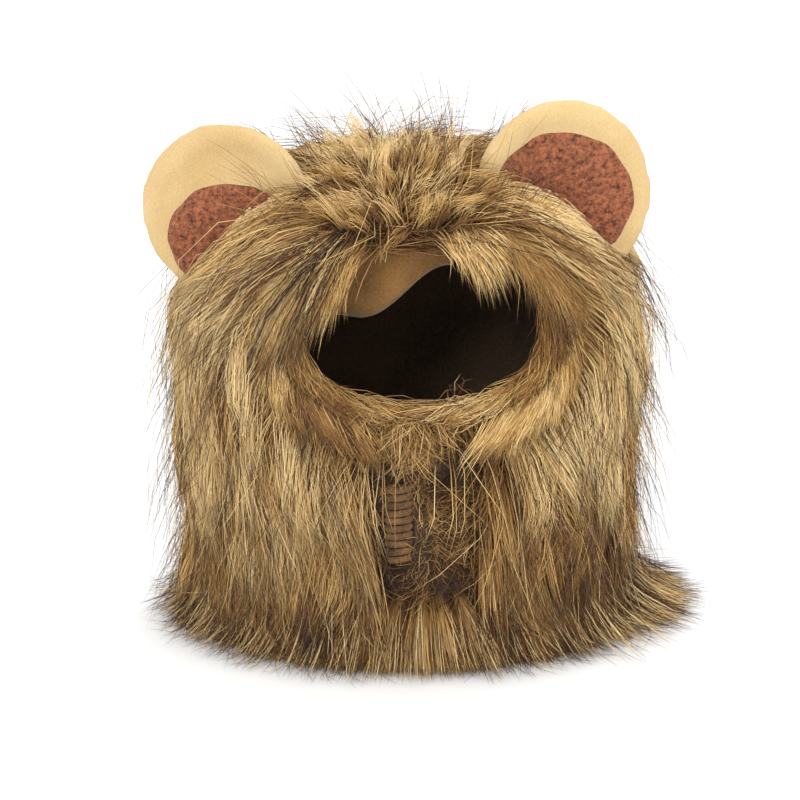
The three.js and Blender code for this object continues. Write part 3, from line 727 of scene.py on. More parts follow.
# %% [markdown]
# ### Strands as one mesh
# All strands of a coat become one mesh in one go. The tables of one strand's corners are made once and
# repeated.

# %% Strands as one mesh
def hair_mesh(name, points, thickness, tone, start, end):
    """Three-sided spikes along strands of points, all in one mesh, with u as tone and v along the hair."""
    count, steps = points.shape[0], points.shape[1] - 1
    along = np.gradient(points, axis=1)
    side = unit(np.cross(along, np.roll(points[:, :1], 1, axis=0) - points[:, :1] + [0, 0.01, 0.02]))
    other = unit(np.cross(along, side))
    swell = np.interp(np.linspace(0, 1, steps + 1), [0, 0.25, 0.7, 1], [0.8, 1, 0.75, 0])
    spins = 2 * np.pi * np.arange(3) / 3
    rings = (points[:, :steps, None]
             + (side[:, :steps, None] * np.cos(spins)[None, None, :, None]
                + other[:, :steps, None] * np.sin(spins)[None, None, :, None])
             * (thickness[:, None, None, None] / 2 * swell[None, :steps, None, None]))
    vertices = np.concatenate([rings.reshape(count, -1, 3), points[:, -1:]], axis=1)
    per_hair = vertices.shape[1]
    corners, uvs, lengths = [], [], []
    for ring in range(steps):
        for spin in range(3):
            here, after = 3 * ring + spin, 3 * ring + (spin + 1) % 3
            if ring < steps - 1:
                corners += [here, after, after + 3, here + 3]
                uvs += [(spin, ring), (spin + 1, ring), (spin + 1, ring + 1), (spin, ring + 1)]
                lengths.append(4)
            else:
                corners += [here, after, per_hair - 1]
                uvs += [(spin, ring), (spin + 1, ring), (spin + 0.5, ring + 1)]
                lengths.append(3)
    corners += [0, 2, 1]
    uvs += [(0, 0), (1.5, 0.3), (3, 0)]
    lengths.append(3)
    corners, uvs, lengths = np.array(corners), np.array(uvs, float), np.array(lengths)
    mesh = bpy.data.meshes.new(name)
    mesh.vertices.add(count * per_hair)
    mesh.vertices.foreach_set("co", vertices.astype(np.float32).ravel())
    mesh.loops.add(count * len(corners))
    index = corners[None] + per_hair * np.arange(count)[:, None]
    mesh.loops.foreach_set("vertex_index", index.astype(np.int32).ravel())
    mesh.polygons.add(count * len(lengths))
    firsts = np.concatenate([[0], np.cumsum(np.tile(lengths, count))[:-1]])
    mesh.polygons.foreach_set("loop_start", firsts.astype(np.int32))
    mesh.update(calc_edges=True)
    u = np.clip(tone[:, None], 0.005, 0.98) + uvs[None, :, 0] * 0.004
    v = start[:, None] + (end - start)[:, None] * uvs[None, :, 1] / steps
    layer = mesh.uv_layers.new(name=HAIR_MAP)
    layer.data.foreach_set("uv", np.stack([u, np.clip(v, 0.002, 0.998)], -1).astype(np.float32).ravel())
    piece = bpy.data.objects.new(name, mesh)
    bpy.context.scene.collection.objects.link(piece)
    return piece


# %% A coat as a piece
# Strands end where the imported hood's box, a little enlarged, ends, and never below the floor.
NEAREST = np.array([*(np.array(cad_box[0][:2]) * 1.06 - 9 * MM), 0.4 * MM])
FURTHEST = np.array(cad_box[1]) * [1.06, 1.06, 1.03] + 9 * MM


def choose(coat, chosen):
    """The chosen strands of a coat, with all that belongs to them."""
    return {key: values[chosen] for key, values in coat.items()}


def add_hair(name, coat, slot, *replaced):
    """Makes a piece of a coat's strands, with constants spread over all of them."""
    count = len(coat["points"])
    spread = [np.broadcast_to(coat[key], count) for key in ("thick", "tone", "start", "end")]
    piece = hair_mesh(name, np.clip(coat["points"], NEAREST, FURTHEST), *spread)
    dress(piece, "hair", slot, *replaced)


# %% [markdown]
# ### The mane
# A dark undercoat lies close to the cloth. Over it come the long strands, in two orders of locks: small
# ones of about nine strands, themselves drawn into big ones, because one order alone would part the coat
# too evenly. Most tips are tan, and those near the hem are black.

# %% Where the mane grows
UNDER_COUNT = int(8200 * QUICK_SHARE)
OVER_COUNT = int(29500 * QUICK_SHARE)
BIG_LOCKS = 430
SMALL_LOCKS = 3400


def mane_density(point):
    """Where the mane grows: densest at the brow, not in the face opening nor on the closure."""
    x = point[..., 0] - AXIS_X
    front = point[..., 1] < AXIS_Y
    closure = front & (x > STRIP_LEFT) & (x < STRIP_RIGHT) & (point[..., 2] < STRIP_TOP)
    bare = closure | (face_margin(point) < ROLL_WIDTH * 0.4)
    thick = np.where(front, 0.62, 0.4) + 0.38 * (1 - fade(whorl_distance(point), 0.02, 0.05))
    return np.where(bare, 0.0, thick)


def coat_loft(point):
    """How far the outer strands stand off the cloth."""
    high = point[:, 2] / HOOD_HEIGHT
    left = fade(AXIS_X - point[:, 0], 0.3 * HALF_WIDTH, HALF_WIDTH)
    return (8.5 + 6 * fade(high, 0.1, 0.5) + 2.5 * left - 2 * fade(high, 0.92, 1.0)) * MM


def plant(count, seed, dice, lengths, lofts, stray):
    """Roots sown over the cloth, walked into strands and short, flat ones. The front's end at the hem."""
    angle, level = sow(count, mane_density, seed)
    root = cloth_point(angle, level)
    length = dice.uniform(*lengths, count) * MM
    front = fade(np.cos(angle), 0.1, 0.6)
    length = np.minimum(length, root[:, 2] * 1.1 + (14 + 40 * (1 - front)) * MM)
    loft = coat_loft(root) * dice.uniform(*lofts, count)
    stray = dice.normal(0, stray, count)
    low = walk(angle, level, 0.6 * length, np.full(count, 2.5 * MM), stray, dice)
    return root, walk(angle, level, length, loft, stray, dice), low


# %% The mane's tones
# Painted shade of the coat's hollows in the front view: x from the axis and z in millimetres, and how dark
# the painted shade is.
PAINTED_SHADE_SIZE = 45
PAINTED_SHADE_SPOTS = [(-19, 173, 0.35), (9, 170, 0.35), (-60, 128, 0.45), (-45, 105, 0.35), (-21, 90, 0.25),
           (15, 85, 0.6), (31, 96, 0.2), (-27, 40, 0.2), (28, 32, 0.2)]


def painted_shade_depth(point):
    """How much painted shade darkens the coat's tone at a point, for lying in one of its hollows."""
    x, z = (point[:, 0] - AXIS_X) / MM, point[:, 2] / MM
    return sum(dark * np.exp(-((x - at_x) ** 2 + (z - at_z) ** 2) / PAINTED_SHADE_SIZE)
               for at_x, at_z, dark in PAINTED_SHADE_SPOTS)


def coat_tone(root, dice):
    """The tone at a root: light on the cheeks and at the chest's left, brown at the hem, golden low right,
    with painted shade in the front's hollows.
    """
    x, z = (root[:, 0] - AXIS_X) / MM, root[:, 2] / MM
    front = fade(AXIS_Y - root[:, 1], -0.01, 0.025)
    cheek = front * fade(np.abs(x), 22, 42) * fade(z, 88, 112)
    chest = front * np.exp(-(((z - 84) / 26) ** 2)) * (1 - 0.8 * fade(x, -10, 20))
    low = 1 - fade(z, 25, 75)
    low_right = fade(x, 35, 70) * (1 - fade(z, 12, 40))
    crown = fade(z, 150, 176)
    right_chest = front * fade(x, 22, 34) * (1 - fade(z, 96, 112))
    far_left = front * fade(-x, 50, 72) * fade(z, 60, 90)
    # Painted shade: the tone is darkened where the front's hollows lie in shadow.
    return (0.48 + 0.09 * patchiness(root) + 0.27 * cheek + 0.06 * chest + 0.08 * crown
            - 0.05 * low * (1 - low_right) + 0.3 * low_right - 0.13 * right_chest + 0.17 * far_left
            - painted_shade_depth(root) * front + dice.normal(0, 0.03, len(root)))


# %% Growing the mane
def grow_mane():
    """The long strands, drawn into small locks that are drawn into big ones. A few stray from them."""
    dice = np.random.default_rng(11)
    _, big, _ = plant(BIG_LOCKS, 5, dice, (50, 62), (0.5, 1.4), 0.28)
    _, small, _ = plant(SMALL_LOCKS, 6, dice, (46, 60), (0.5, 1.15), 0.16)
    small, in_big = gather(small, big, dice.uniform(0.4, 0.85, SMALL_LOCKS))
    lock_tone = dice.normal(0, 0.1, SMALL_LOCKS) + dice.normal(0, 0.09, BIG_LOCKS)[in_big]
    root, loose, flat = plant(OVER_COUNT, 7, dice, (42, 60), (0.55, 1.1), 0.14)
    locks, nearest = gather(loose, small, dice.uniform(0.7, 0.95, OVER_COUNT))
    stray = dice.uniform(0, 1, OVER_COUNT) < 0.08
    locks = np.where(stray[:, None, None], loose, locks)
    grow = ALONG**1.6
    locks += dice.normal(0, 0.9, (OVER_COUNT, 1, 3)) * MM * grow
    off = unit(loose - [AXIS_X, AXIS_Y, 0.5 * HOOD_HEIGHT])
    off *= dice.uniform(2, 9, OVER_COUNT)[:, None, None] * MM
    locks += np.where(stray[:, None, None], off * grow, 0)
    locks = clear_of_ears(locks, dice)
    slack = dice.exponential(1.7, OVER_COUNT) * MM
    hidden = hides_ear(locks, slack)
    locks[hidden] = flat[hidden]
    locks[..., 2] = np.maximum(locks[..., 2], 0.6 * MM)
    keep = ~(hides_ear(locks, slack + 4 * MM) | hangs_in_face(locks) | crosses_closure(locks, slack * 2.6))
    hem = 1 - fade(root[:, 2], 0.03, 0.09)
    black = dice.uniform(0, 1, OVER_COUNT) < 0.11 + 0.72 * hem
    end = np.where(black, dice.uniform(0.9, 1.0, OVER_COUNT), dice.uniform(0.6, 0.82, OVER_COUNT))
    thick = np.where(stray, 0.24, dice.uniform(0.32, 0.52, OVER_COUNT)) * MM
    palest = np.where(root[:, 2] < 45 * MM, 0.86, 0.75)
    tone = np.clip(coat_tone(root, dice) + lock_tone[nearest], 0.04, palest)
    start = dice.uniform(0.02, 0.1, OVER_COUNT) + 0.1 * fade(root[:, 2], 0.15, 0.172)
    return choose({"root": root, "points": locks, "thick": thick, "tone": tone,
                   "start": start, "end": end}, keep)


def grow_undercoat():
    """Short, thick, dark strands of three points that fill the ground between the locks."""
    dice = np.random.default_rng(12)
    _, points, flat = plant(UNDER_COUNT, 8, dice, (24, 38), (0.2, 0.6), 0.25)
    none = np.zeros(UNDER_COUNT)
    hidden = hides_ear(points, none)[:, None, None]
    points = np.where(hidden, flat, clear_of_ears(points, dice))[:, [0, 1, 3]]
    keep = ~(hides_ear(points, none + 4 * MM) | hangs_in_face(points) | crosses_closure(points, none))
    tone = np.clip(0.36 + dice.normal(0, 0.06, UNDER_COUNT), 0.05, 0.6)
    return choose({"points": points, "thick": dice.uniform(0.6, 0.9, UNDER_COUNT) * MM, "tone": tone,
                   "start": np.full(UNDER_COUNT, 0.05), "end": dice.uniform(0.4, 0.7, UNDER_COUNT)}, keep)


# %% [markdown]
# ### The swept locks
# From the two whorls long locks sweep round the opening's upper corners and hide the ears' lower edges. A
# comb can't give each of them its own place, so a table does. Each row is a lock, and each of its strands
# strays a little.

# %% The swept locks
# Places are x from the hood's axis and z, in millimetres. bow pushes a lock's middle outwards, away from the
# straight line, and lift pushes it off the cloth.
SWEPT_LOCKS = [
    {"from": (-22, 176), "to": (-90, 141), "bow": 5, "lift": 13, "tone": 0.64, "share": 1.2},
    {"from": (-22, 175), "to": (-85, 131), "bow": 6, "lift": 13, "tone": 0.72, "share": 1.3},
    {"from": (-21, 174), "to": (-78, 120), "bow": 6, "lift": 13, "tone": 0.6, "share": 1.3},
    {"from": (-21, 173), "to": (-69, 113), "bow": 7, "lift": 12, "tone": 0.7, "share": 1.2},
    {"from": (-20, 172), "to": (-60, 116), "bow": 7, "lift": 12, "tone": 0.5, "share": 1.0},
    {"from": (-19, 171), "to": (-52, 123), "bow": 6, "lift": 12, "tone": 0.6, "share": 0.9},
    {"from": (-19, 170), "to": (-44, 129), "bow": 5, "lift": 11, "tone": 0.44, "share": 0.7},
    {"from": (-18, 170), "to": (-36, 134), "bow": 4, "lift": 11, "tone": 0.54, "share": 0.6},
    {"from": (-18, 169), "to": (-29, 141), "bow": 3, "lift": 11, "tone": 0.42, "share": 0.4},
    {"from": (13, 177), "to": (86, 149), "bow": -6, "lift": 13, "tone": 0.44, "share": 1.1},
    {"from": (14, 176), "to": (84, 137), "bow": -8, "lift": 13, "tone": 0.5, "share": 1.1},
    {"from": (15, 175), "to": (80, 126), "bow": -10, "lift": 13, "tone": 0.4, "share": 1.1},
    {"from": (16, 174), "to": (74, 121), "bow": -12, "lift": 12, "tone": 0.46, "share": 1.0},
    {"from": (17, 173), "to": (67, 127), "bow": -12, "lift": 12, "tone": 0.4, "share": 0.8},
    {"from": (19, 172), "to": (60, 140), "bow": -9, "lift": 11, "tone": 0.34, "share": 0.5},
]
SWEPT_COUNT = int(2600 * QUICK_SHARE)
SWEPT_TOP = 179


def swept_locks():
    """Locks that sweep from the two whorls round the opening's upper corners, in front of the roll."""
    dice = np.random.default_rng(17)
    count = SWEPT_COUNT
    share = np.array([row["share"] for row in SWEPT_LOCKS])
    lock = dice.choice(len(SWEPT_LOCKS), count, p=share / share.sum())
    start, end, bow, lift, tone = (np.array([row[key] for row in SWEPT_LOCKS], float)[lock]
                                   for key in ("from", "to", "bow", "lift", "tone"))
    start += dice.normal(0, 2.6, (count, 2))
    reach = dice.uniform(0.5, 1.12, count)[:, None]
    end = start + (end - start) * reach + dice.normal(0, 2.4, (count, 2))
    run = end - start
    aside = unit(np.stack([run[:, 1], -run[:, 0]], -1))
    points = np.empty((count, 5, 3))
    for step in range(5):
        along = step / 4
        bend = bow * math.sin(math.pi * along) + 1.2 * np.sin(lock * 2.1 + 4 * along)
        flat = start + run * along + aside * bend[:, None]
        flat[:, 1] = np.minimum(flat[:, 1], SWEPT_TOP)
        place = cloth_point(*front_place(flat[:, 0] * MM, flat[:, 1] * MM))
        rise = (lift - 2) * math.sin(min(1, 1.7 * along) * math.pi / 2)
        forward = CLOTH_WALL / MM + 2 + rise + dice.normal(0, 0.8, count)
        x, z = AXIS_X + flat[:, 0] * MM, flat[:, 1] * MM
        points[:, step] = np.stack([x, place[:, 1] - forward * MM, z], -1)
    points = clear_of_ears(points, dice)
    keep = ~hides_ear(points, dice.exponential(4.0, count) * MM + 2.5 * MM)
    return choose({"points": points, "thick": dice.uniform(0.26, 0.4, count) * MM,
                   "tone": np.clip(tone + dice.normal(0, 0.06, count), 0.1, 0.85),
                   "start": dice.uniform(0.03, 0.12, count), "end": dice.uniform(0.62, 0.98, count)}, keep)


# %% The coat's pieces
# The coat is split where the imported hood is, so that each piece stands for its own panel.
swept = swept_locks()
to_left = swept["points"][:, 0, 0] < AXIS_X
add_hair("temple_locks_left", choose(swept, to_left), "pile", "fur_left")
add_hair("temple_locks_right", choose(swept, ~to_left), "pile", "fur_right")
add_hair("undercoat", grow_undercoat(), "pile", "fur_left", "fur_right")
mane = grow_mane()
GUSSET_HALF_WIDTH = 27 * MM
root_x = mane["root"][:, 0] - AXIS_X
root_y = mane["root"][:, 1]
gusset = (np.abs(root_x) < GUSSET_HALF_WIDTH) & ((root_y > AXIS_Y) | (mane["root"][:, 2] > FACE_Z))
left = root_x < 0
front = root_y < AXIS_Y
add_hair("mane_left_front", choose(mane, ~gusset & left & front), "pile", "fur_left")
add_hair("mane_left_back", choose(mane, ~gusset & left & ~front), "pile", "fur_left")
add_hair("mane_right_front", choose(mane, ~gusset & ~left & front), "pile", "fur_right")
add_hair("mane_right_back", choose(mane, ~gusset & ~left & ~front), "pile", "fur_right")
add_hair("mane_gusset", choose(mane, gusset), "crest", "fur_gusset")

# %% [markdown]
# ### Loose wisps
# Long, dark, very thin hairs stand away from the coat all round, most of all on the crown and at the sides.
# They belong to no lock, so they are grown apart from the mane. On the coat they are walked as its strands
# are, and pushed outwards. On the crown they stand up and bend under their weight, and on the floor they
# run straight out.

# %% Wisps of the coat
WISP_COUNT = int(3200 * QUICK_SHARE)


def wisps():
    """Long thin hairs that leave the coat all round. Those that would run sideways over the chest go."""
    dice = np.random.default_rng(13)
    root, points, _ = plant(WISP_COUNT, 9, dice, (44, 66), (0.9, 1.4), 0.35)
    out = unit((points - [AXIS_X, AXIS_Y, 0.45 * HOOD_HEIGHT]) * [1, 1, 0.8])
    far = dice.exponential(7.5, WISP_COUNT).clip(1, 19) * MM
    points += out * far[:, None, None] * ALONG**1.5
    points = clear_of_ears(points, dice)
    points[..., 2] = np.maximum(points[..., 2], 0.6 * MM)
    dark = dice.uniform(0, 1, WISP_COUNT) < 0.75
    run = points[:, -1] - points[:, 0]
    middle = np.abs(root[:, 2] - 92 * MM) < 48 * MM
    sideways = middle & (-run[:, 2] < 0.6 * np.hypot(run[:, 0], run[:, 1]))
    keep = ~(hangs_in_face(points) | hides_ear(points, np.full(WISP_COUNT, 5 * MM)) | sideways)
    return choose({"points": points, "thick": dice.uniform(0.18, 0.3, WISP_COUNT) * MM,
                   "tone": np.where(dark, 0.12, 0.6) + dice.normal(0, 0.06, WISP_COUNT),
                   "start": np.full(WISP_COUNT, 0.3), "end": np.full(WISP_COUNT, 0.99)}, keep)


# %% Wisps of the crown
CROWN_WISP_COUNT = int(480 * QUICK_SHARE)
CROWN_BUNCHES = 13
HIGHEST_HAIR = 229 * MM


def straight_strands(root, heading, length, droop):
    """Strands that leave their roots along a heading and bend down under their weight."""
    fall = np.array([0, 0, -1.0]) * (droop * length)[:, None, None] * ALONG**2
    return root[:, None] + heading[:, None] * length[:, None, None] * ALONG + fall


def near_middle(point):
    """The crown's wisps grow near the hood's middle alone."""
    return np.where(np.abs(point[..., 0] - AXIS_X) < 52 * MM, 1.0, 0.0)


def crown_wisps():
    """Long thin hairs that stand up from the crown in loose bunches and curve away."""
    dice = np.random.default_rng(14)
    count = CROWN_WISP_COUNT
    angle, level = sow(count, near_middle, 15, (6.4, APEX - 0.3))
    root = offset_point(angle, level, CLOTH_WALL + 4 * MM)
    x = (root[:, 0] - AXIS_X) / (50 * MM)
    bunch = np.round(x * CROWN_BUNCHES / 2)
    lean = 0.9 * x + 0.45 * np.sin(bunch * 2.4) + dice.normal(0, 0.16, count)
    heading = unit(np.stack([lean, -0.1 + dice.normal(0, 0.25, count), np.full(count, 1.0)], -1))
    tall = 0.55 + 0.45 * np.sin(bunch * 1.9 + 0.6) ** 2
    length = dice.uniform(20, 52, count) * tall * MM
    points = straight_strands(root, heading, length, dice.uniform(0, 0.35, count))
    points[..., 2] = np.minimum(points[..., 2], HIGHEST_HAIR)
    return {"points": clear_of_ears(points, dice), "thick": dice.uniform(0.16, 0.28, count) * MM,
            "tone": np.clip(0.22 + dice.normal(0, 0.1, count), 0.02, 0.7), "start": 0.3, "end": 0.99}


# %% Wisps on the floor
FLOOR_WISP_COUNT = int(1150 * QUICK_SHARE)


def floor_wisps():
    """Thin hairs that lie out on the floor, furthest at the right."""
    dice = np.random.default_rng(16)
    count = FLOOR_WISP_COUNT
    right = dice.uniform(0, 1, count) < 0.4
    angle = np.where(right, dice.normal(1.55, 0.3, count), dice.uniform(-2.0, 1.0, count))
    level = dice.uniform(0.1, 1.2, count)
    root = offset_point(angle, level, np.full(count, 8 * MM))
    out = np.stack([np.sin(angle), -np.cos(angle) + dice.normal(0, 0.3, count), np.zeros(count)], -1)
    far = (np.where(right, 29, 16) * dice.uniform(0.5, 1.2, count) + root[:, 2] / MM * 0.35) * MM
    points = root[:, None] + unit(out)[:, None] * far[:, None, None] * ALONG
    points[..., 2] = root[:, None, 2] * (1 - ALONG[..., 0]) ** 1.8 + dice.uniform(0.8, 5, (count, 1)) * MM
    thick = dice.uniform(0.18, 0.3, count) * MM
    tone = np.where(dice.uniform(0, 1, count) < 0.6, 0.12, 0.72) + dice.normal(0, 0.05, count)
    return {"points": points, "thick": thick, "tone": np.clip(tone, 0.02, 0.95), "start": 0.3, "end": 0.99}


add_hair("wisps", wisps(), "pile", "fur_left", "fur_right")
add_hair("floor_wisps", floor_wisps(), "pile", "fur_left", "fur_right")
add_hair("crown_wisps", crown_wisps(), "crest", "fur_gusset")

# %% [markdown]
# ### The crest
# Between the two whorls the pile was brushed up. A strand that walks over the cloth can't stand up from it,
# so these leave their roots along a heading, fan out a little and sag under their weight. Most are pale to
# the tip.

# %% The crest's strands
CREST_COUNT = int(2600 * QUICK_SHARE)
CREST_LOCKS = 90
CREST_MIDDLE = -4 * MM


def crest_density(point):
    """The crest grows in a narrow band between the whorls, on the crown's front."""
    x = (point[..., 0] - AXIS_X - CREST_MIDDLE) / MM
    inside = (point[..., 1] < AXIS_Y + 4 * MM) & (point[..., 2] > FACE_Z + FACE_HALF_HEIGHT)
    return np.where(inside, np.exp(-((x / 21) ** 4)), 0.0)


def crest_strands(count, seed, dice, spread):
    """Strands that stand up and fan out, each turned at random by the spread."""
    angle, level = sow(count, crest_density, seed, (6.3, APEX - 0.3))
    root = offset_point(angle, level, CLOTH_WALL - 0.5 * MM)
    x = (root[:, 0] - AXIS_X - CREST_MIDDLE) / MM
    heading = np.stack([0.055 * x, -0.25 * np.ones(count), np.ones(count)], -1)
    heading = unit(heading + 0.3 * cloth_frame(angle, level)[2] + dice.normal(0, spread, (count, 3)))
    length = dice.uniform(18, 37, count) * (1 - 0.008 * np.abs(x)) * MM
    return root, straight_strands(root, heading, length, dice.uniform(0.05, 0.5, count))


def crest():
    """The crest's strands, drawn loosely into locks, paler the higher they end."""
    dice = np.random.default_rng(21)
    _, locks = crest_strands(CREST_LOCKS, 23, dice, 0.4)
    root, points = crest_strands(CREST_COUNT, 22, dice, 0.2)
    points, nearest = gather(points, locks, dice.uniform(0.3, 0.9, CREST_COUNT))
    lock_tone = dice.normal(0, 0.13, CREST_LOCKS)[nearest]
    high = fade(points[:, -1, 2], 0.185, 0.212)
    tone = 0.5 + 0.32 * high + lock_tone + dice.normal(0, 0.05, CREST_COUNT)
    black = dice.uniform(0, 1, CREST_COUNT) < 0.12
    return {"points": clear_of_ears(points, dice), "tone": np.clip(tone, 0.05, 0.76),
            "thick": dice.uniform(0.28, 0.42, CREST_COUNT) * MM, "start": 0.02,
            "end": np.where(black, 0.97, dice.uniform(0.5, 0.75, CREST_COUNT))}


add_hair("crest", crest(), "crest", "fur_gusset")

# %% [markdown]
# ### The rolled face edge
# The edge is a soft roll whose pile is combed along it, down both sides to a small tangle under the chin.
# Over the brow it is dark and matted. The roll itself is the CAD ring made round by subdivision.

# %% The roll
roll = nodes["face_roll"].copy()
roll.data = nodes["face_roll"].data.copy()
roll.name = "face_edge_roll"
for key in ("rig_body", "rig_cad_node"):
    if key in roll:
        del roll[key]
roll.parent = None
bpy.context.scene.collection.objects.link(roll)
tidy_mesh(roll)
finish_with(roll, "SUBSURF", levels=1, render_levels=1)
dress(roll, "backing", "roll", "face_roll")

# %% Strands along the roll
def roll_surface(turn, spin, lift):
    """A point of the roll: turn goes round the face, spin round the roll from its outside over its front."""
    x, z = face_outline(turn, ROLL_WIDTH / 2)
    outer_x, outer_z = face_outline(turn, ROLL_WIDTH)
    y = cloth_point(*front_place(x - AXIS_X, z))[:, 1] - CLOTH_WALL / 2
    outward = unit(np.stack([outer_x - x, np.zeros(len(x)), outer_z - z], -1))
    forward = np.array([0, -1.0, 0])
    centre = np.stack([x, y, z], -1)
    return (centre + outward * ((ROLL_WIDTH / 2 + lift) * np.cos(spin))[:, None]
            + forward * ((6 * MM + lift) * np.sin(spin))[:, None])


def along_the_roll(turn, spin, length, way, loft, roll_out, dice):
    """Strands combed along the roll. way is the sense round the face, roll_out how fast they leave."""
    points = np.empty((len(turn), 4, 3))
    for step in range(4):
        points[:, step] = roll_surface(turn, spin, -0.4 * MM + loft * step / 3)
        size = np.hypot(FACE_HALF_WIDTH * np.sin(turn), FACE_HALF_HEIGHT * np.cos(turn)) + ROLL_WIDTH / 2
        turn = turn + way * 0.92 * length / 3 / size
        spin = np.maximum(spin - roll_out * length / 3 / (ROLL_WIDTH / 2 + 3 * MM), math.radians(-70))
    points[:, 1:] += dice.normal(0, 0.8, (len(turn), 3, 3)) * MM
    return points


# %% Strands from the roll over the coat
def over_the_coat(turn, margin, length, way, lean, dice):
    """Strands rooted on the roll that run along it, turn outwards by the lean and drape over the coat."""
    steps = 4
    x, z = face_outline(turn, margin)
    points = np.empty((len(turn), steps + 1, 3))
    for step in range(steps + 1):
        along = step / steps
        y = cloth_point(*front_place(x - AXIS_X, z))[:, 1]
        out = face_margin(np.stack([x, np.full(len(x), AXIS_Y - 1), z], -1))
        lift = (5.5 + 7.5 * fade(out, 6 * MM, 18 * MM)) * MM * math.sin(min(1, 0.35 + along) * math.pi / 2)
        points[:, step] = np.stack([x, y - CLOTH_WALL / 2 - lift, z], -1)
        dx, dz = (x - FACE_X) / FACE_HALF_WIDTH, (z - FACE_Z) / FACE_HALF_HEIGHT
        outward = unit(np.stack([np.sign(dx) * np.abs(dx) ** 1.6 / FACE_HALF_WIDTH,
                                 np.sign(dz) * np.abs(dz) ** 1.6 / FACE_HALF_HEIGHT], -1))
        around = np.stack([-outward[:, 1], outward[:, 0]], -1) * way[:, None]
        bend = lean * (0.35 + 0.65 * along)
        move = around * np.cos(bend)[:, None] + outward * np.sin(bend)[:, None]
        move[:, 1] -= 0.75 * along
        move = unit(move) * (length / steps)[:, None]
        x, z = x + move[:, 0], z + move[:, 1]
    points[:, 1:] += dice.normal(0, 0.6, (len(turn), steps, 3)) * MM
    return points


# %% The roll's pile
RIM_COUNT = int(2700 * QUICK_SHARE)


def rim_tone(turn, points, dice):
    """Brown on the roll, golden at the lower right, and darker up at both sides."""
    golden = np.exp(-((turn + math.radians(65)) / 0.25) ** 2)
    height = fade(points[:, 0, 2], FACE_Z - 0.6 * FACE_HALF_HEIGHT, FACE_Z + 0.5 * FACE_HALF_HEIGHT)
    return (0.42 + 0.14 * patchiness(points[:, 0] * 1.6) + 0.28 * golden - 0.1 * height
            + dice.normal(0, 0.07, len(points)))


def rim():
    """The roll's own pile, combed along it and rolling outwards."""
    dice = np.random.default_rng(31)
    turn = dice.uniform(math.radians(-200), math.radians(20), RIM_COUNT)
    spin = dice.uniform(math.radians(10), math.radians(205), RIM_COUNT)
    length = dice.uniform(14, 30, RIM_COUNT) * MM
    way = np.where(np.cos(turn) > 0, -1.0, 1.0)
    loft = dice.exponential(1.3, RIM_COUNT).clip(0.2, 5) * MM
    middle = np.exp(-((turn + math.radians(90)) / 0.4) ** 2)
    leave = dice.uniform(0.1, 0.7, RIM_COUNT) + 0.9 * middle * dice.uniform(0, 1, RIM_COUNT)
    points = along_the_roll(turn, spin, length, way, loft, leave, dice)
    tone = rim_tone(turn, points, dice)
    return {"points": points, "tone": np.clip(tone, 0.08, 0.93),
            "thick": dice.uniform(0.26, 0.4, RIM_COUNT) * MM,
            "start": 0.05, "end": dice.uniform(0.6, 0.96, RIM_COUNT)}


# %% The drape
DRAPE_COUNT = int(3100 * QUICK_SHARE)
DRAPE_LOCKS = 110


def drape():
    """Locks that leave the roll outwards and down and lie over the cheeks, and hide the roll's edge."""
    dice = np.random.default_rng(33)

    def strands(turn, margin, length, lean):
        way = np.where(np.cos(turn) > 0, -1.0, 1.0)
        return over_the_coat(turn, margin, length, way, lean, dice)

    lock_turn = dice.uniform(math.radians(-225), math.radians(45), DRAPE_LOCKS)
    lock_length = dice.uniform(24, 40, DRAPE_LOCKS)
    lock_lean = np.radians(dice.uniform(25, 75, DRAPE_LOCKS))
    locks = strands(lock_turn, np.full(DRAPE_LOCKS, 6 * MM), lock_length * MM, lock_lean)
    lock = dice.integers(0, DRAPE_LOCKS, DRAPE_COUNT)
    turn = lock_turn[lock] + dice.normal(0, 0.06, DRAPE_COUNT)
    margin = dice.uniform(2, 10, DRAPE_COUNT) * MM
    points = strands(turn, margin, lock_length[lock] * dice.uniform(0.75, 1.1, DRAPE_COUNT) * MM,
                     lock_lean[lock] + dice.normal(0, 0.15, DRAPE_COUNT))
    hold = fade(np.linspace(0, 1, points.shape[1]), 0, 1)[None, :, None]
    hold = dice.uniform(0.35, 0.85, DRAPE_COUNT)[:, None, None] * hold
    points += (locks[lock] - points) * hold
    # The hollows' painted shade darkens these strands too.
    tone = rim_tone(turn, points, dice) + 0.1 + 0.08 * np.sin(lock * 2.7) - painted_shade_depth(points[:, 2])
    keep = ~(hangs_in_face(points) | crosses_closure(points, dice.uniform(0, 9, DRAPE_COUNT) * MM))
    return choose({"points": points, "tone": np.clip(tone, 0.08, 0.9),
                   "thick": dice.uniform(0.26, 0.4, DRAPE_COUNT) * MM,
                   "start": dice.uniform(0.03, 0.1, DRAPE_COUNT),
                   "end": dice.uniform(0.6, 0.96, DRAPE_COUNT)}, keep)


# %% The brow's mat
BROW_COUNT = int(1200 * QUICK_SHARE)


def brow_mat():
    """Dark, short strands that lie sideways over the opening's top edge."""
    dice = np.random.default_rng(43)
    turn = dice.uniform(math.radians(15), math.radians(170), BROW_COUNT)
    spin = dice.uniform(0.0, math.radians(190), BROW_COUNT)
    way = np.where(turn > math.radians(100), 1.0, -1.0)
    way *= np.where(dice.uniform(0, 1, BROW_COUNT) < 0.2, -1, 1)
    length = dice.uniform(12, 28, BROW_COUNT) * MM
    loft = dice.uniform(0.5, 6, BROW_COUNT) * MM
    leave = dice.uniform(-0.1, 0.6, BROW_COUNT)
    points = along_the_roll(turn, spin, length, way, loft, leave, dice)
    tone = 0.27 + 0.1 * patchiness(points[:, 0] * 2) + dice.normal(0, 0.1, BROW_COUNT)
    return {"points": clear_of_ears(points, dice), "tone": np.clip(tone, 0.05, 0.8),
            "thick": dice.uniform(0.28, 0.4, BROW_COUNT) * MM, "start": 0.05,
            "end": dice.uniform(0.55, 0.95, BROW_COUNT)}


